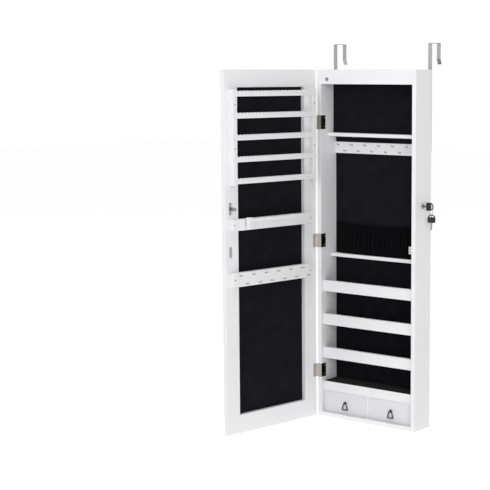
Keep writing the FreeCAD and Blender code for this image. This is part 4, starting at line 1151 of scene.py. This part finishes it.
def white_surround():
    """A white surround: full strength to the eye and in reflections, weaker as light on the object."""
    world = bpy.data.worlds.new("white surround")
    world.use_nodes = True
    tree = world.node_tree
    path = add(tree, "ShaderNodeLightPath")
    strength = add(tree, "ShaderNodeMapRange", {"Value": path.outputs["Is Diffuse Ray"],
                                                "To Min": SURROUND, "To Max": FILL})
    connect(tree, tree.nodes["Background"], {"Color": (1.0, 1.0, 1.0, 1.0),
                                             "Strength": strength.outputs["Result"]})
    return world


def build_stage():
    """A pale floor under the cabinet, a white surround, soft lights and the camera."""
    scene = bpy.context.scene
    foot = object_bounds()[0][2]
    shape = bmesh.new()
    bmesh.ops.create_grid(shape, x_segments=24, y_segments=24, size=FLOOR_REACH)
    shape.transform(Matrix.Translation((0, 0, foot - FLOOR_GAP)))
    mesh = finished(shape, "floor")
    mesh.materials.append(material_for("floor"))
    floor = bpy.data.objects.new("floor", mesh)
    scene.collection.objects.link(floor)
    floor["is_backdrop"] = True

    scene.world = white_surround()
    scene.view_settings.view_transform = "Standard"
    for softbox in SOFTBOXES:
        soft_light(*softbox)

    data = bpy.data.cameras.new("camera")
    data.lens = CAMERA_LENS
    data.sensor_width = CAMERA_SENSOR
    data.shift_x, data.shift_y = CAMERA_SHIFT
    camera = bpy.data.objects.new("camera", data)
    camera.location = CAMERA_PLACE
    camera.rotation_euler = (math.radians(CAMERA_TILT), 0, math.radians(CAMERA_TURN))
    scene.collection.objects.link(camera)
    scene.camera = camera


# ---------------------------------------------------------------- operators and panel
class CABINET_OT_dress_nodes(bpy.types.Operator):
    """Give the CAD nodes their finishes"""
    bl_idname = "cabinet.dress_nodes"
    bl_label = "Finishes"

    def execute(self, context):
        dress_nodes()
        return {"FINISHED"}


class CABINET_OT_hooks(bpy.types.Operator):
    """Build the necklace hooks"""
    bl_idname = "cabinet.hooks"
    bl_label = "Necklace hooks"

    def execute(self, context):
        build_hooks()
        return {"FINISHED"}


class CABINET_OT_screws(bpy.types.Operator):
    """Build the screws"""
    bl_idname = "cabinet.screws"
    bl_label = "Screws"

    def execute(self, context):
        build_screws()
        return {"FINISHED"}


class CABINET_OT_earring_bars(bpy.types.Operator):
    """Drill the earring bars"""
    bl_idname = "cabinet.earring_bars"
    bl_label = "Earring bars"

    def execute(self, context):
        build_earring_bars()
        return {"FINISHED"}


class CABINET_OT_pouch(bpy.types.Operator):
    """Build the gathered pouch"""
    bl_idname = "cabinet.pouch"
    bl_label = "Pouch"

    def execute(self, context):
        build_pouch()
        return {"FINISHED"}


class CABINET_OT_pad(bpy.types.Operator):
    """Build the pinning pad"""
    bl_idname = "cabinet.pad"
    bl_label = "Pinning pad"

    def execute(self, context):
        build_pad()
        return {"FINISHED"}


class CABINET_OT_liners(bpy.types.Operator):
    """Lay felt in the trays and on the deck"""
    bl_idname = "cabinet.liners"
    bl_label = "Felt liners"

    def execute(self, context):
        build_liners()
        return {"FINISHED"}


class CABINET_OT_keys(bpy.types.Operator):
    """Build the keys and their ring"""
    bl_idname = "cabinet.keys"
    bl_label = "Keys and ring"

    def execute(self, context):
        build_keys()
        build_key_ring()
        return {"FINISHED"}


class CABINET_OT_pulls(bpy.types.Operator):
    """Build the drawers' ring pulls"""
    bl_idname = "cabinet.pulls"
    bl_label = "Ring pulls"

    def execute(self, context):
        build_pulls()
        return {"FINISHED"}


class CABINET_OT_catch(bpy.types.Operator):
    """Build the magnetic catch"""
    bl_idname = "cabinet.catch"
    bl_label = "Magnetic catch"

    def execute(self, context):
        build_catch()
        return {"FINISHED"}


class CABINET_OT_stage(bpy.types.Operator):
    """Set up the floor, the lights and the camera"""
    bl_idname = "cabinet.stage"
    bl_label = "Stage"

    def execute(self, context):
        build_stage()
        return {"FINISHED"}


OPERATORS = (
    CABINET_OT_dress_nodes, CABINET_OT_hooks, CABINET_OT_screws, CABINET_OT_earring_bars,
    CABINET_OT_pouch, CABINET_OT_pad, CABINET_OT_liners, CABINET_OT_keys, CABINET_OT_pulls,
    CABINET_OT_catch, CABINET_OT_stage,
)


class CABINET_PT_panel(bpy.types.Panel):
    """Sizes, colours and steps of the cabinet"""
    bl_idname = "CABINET_PT_panel"
    bl_label = "Jewelry cabinet"
    bl_space_type = "VIEW_3D"
    bl_region_type = "UI"
    bl_category = "Cabinet"

    def draw(self, context):
        for settings in (context.scene.cabinet_sizes, context.scene.cabinet_colours):
            box = self.layout.box()
            for name in settings.__annotations__:
                box.prop(settings, name)
        for operator in OPERATORS:
            self.layout.operator(operator.bl_idname)


CLASSES = (CabinetColours, CabinetSizes, *OPERATORS, CABINET_PT_panel)


def register():
    """Add the settings, the operators and the panel."""
    for item in CLASSES:
        bpy.utils.register_class(item)
    bpy.types.Scene.cabinet_colours = bpy.props.PointerProperty(
        type=CabinetColours, name="Cabinet colours", description="Colours of the cabinet's finishes")
    bpy.types.Scene.cabinet_sizes = bpy.props.PointerProperty(
        type=CabinetSizes, name="Cabinet sizes", description="Sizes of the cabinet's small pieces")


def unregister():
    """Take them away again, last first."""
    del bpy.types.Scene.cabinet_sizes
    del bpy.types.Scene.cabinet_colours
    for item in reversed(CLASSES):
        bpy.utils.unregister_class(item)


def main():
    """Build every piece and the stage."""
    register()
    bpy.ops.cabinet.dress_nodes()
    bpy.ops.cabinet.hooks()
    bpy.ops.cabinet.screws()
    bpy.ops.cabinet.earring_bars()
    bpy.ops.cabinet.pouch()
    bpy.ops.cabinet.pad()
    bpy.ops.cabinet.liners()
    bpy.ops.cabinet.keys()
    bpy.ops.cabinet.pulls()
    bpy.ops.cabinet.catch()
    bpy.ops.cabinet.stage()


if __name__ == "__main__":
    main()
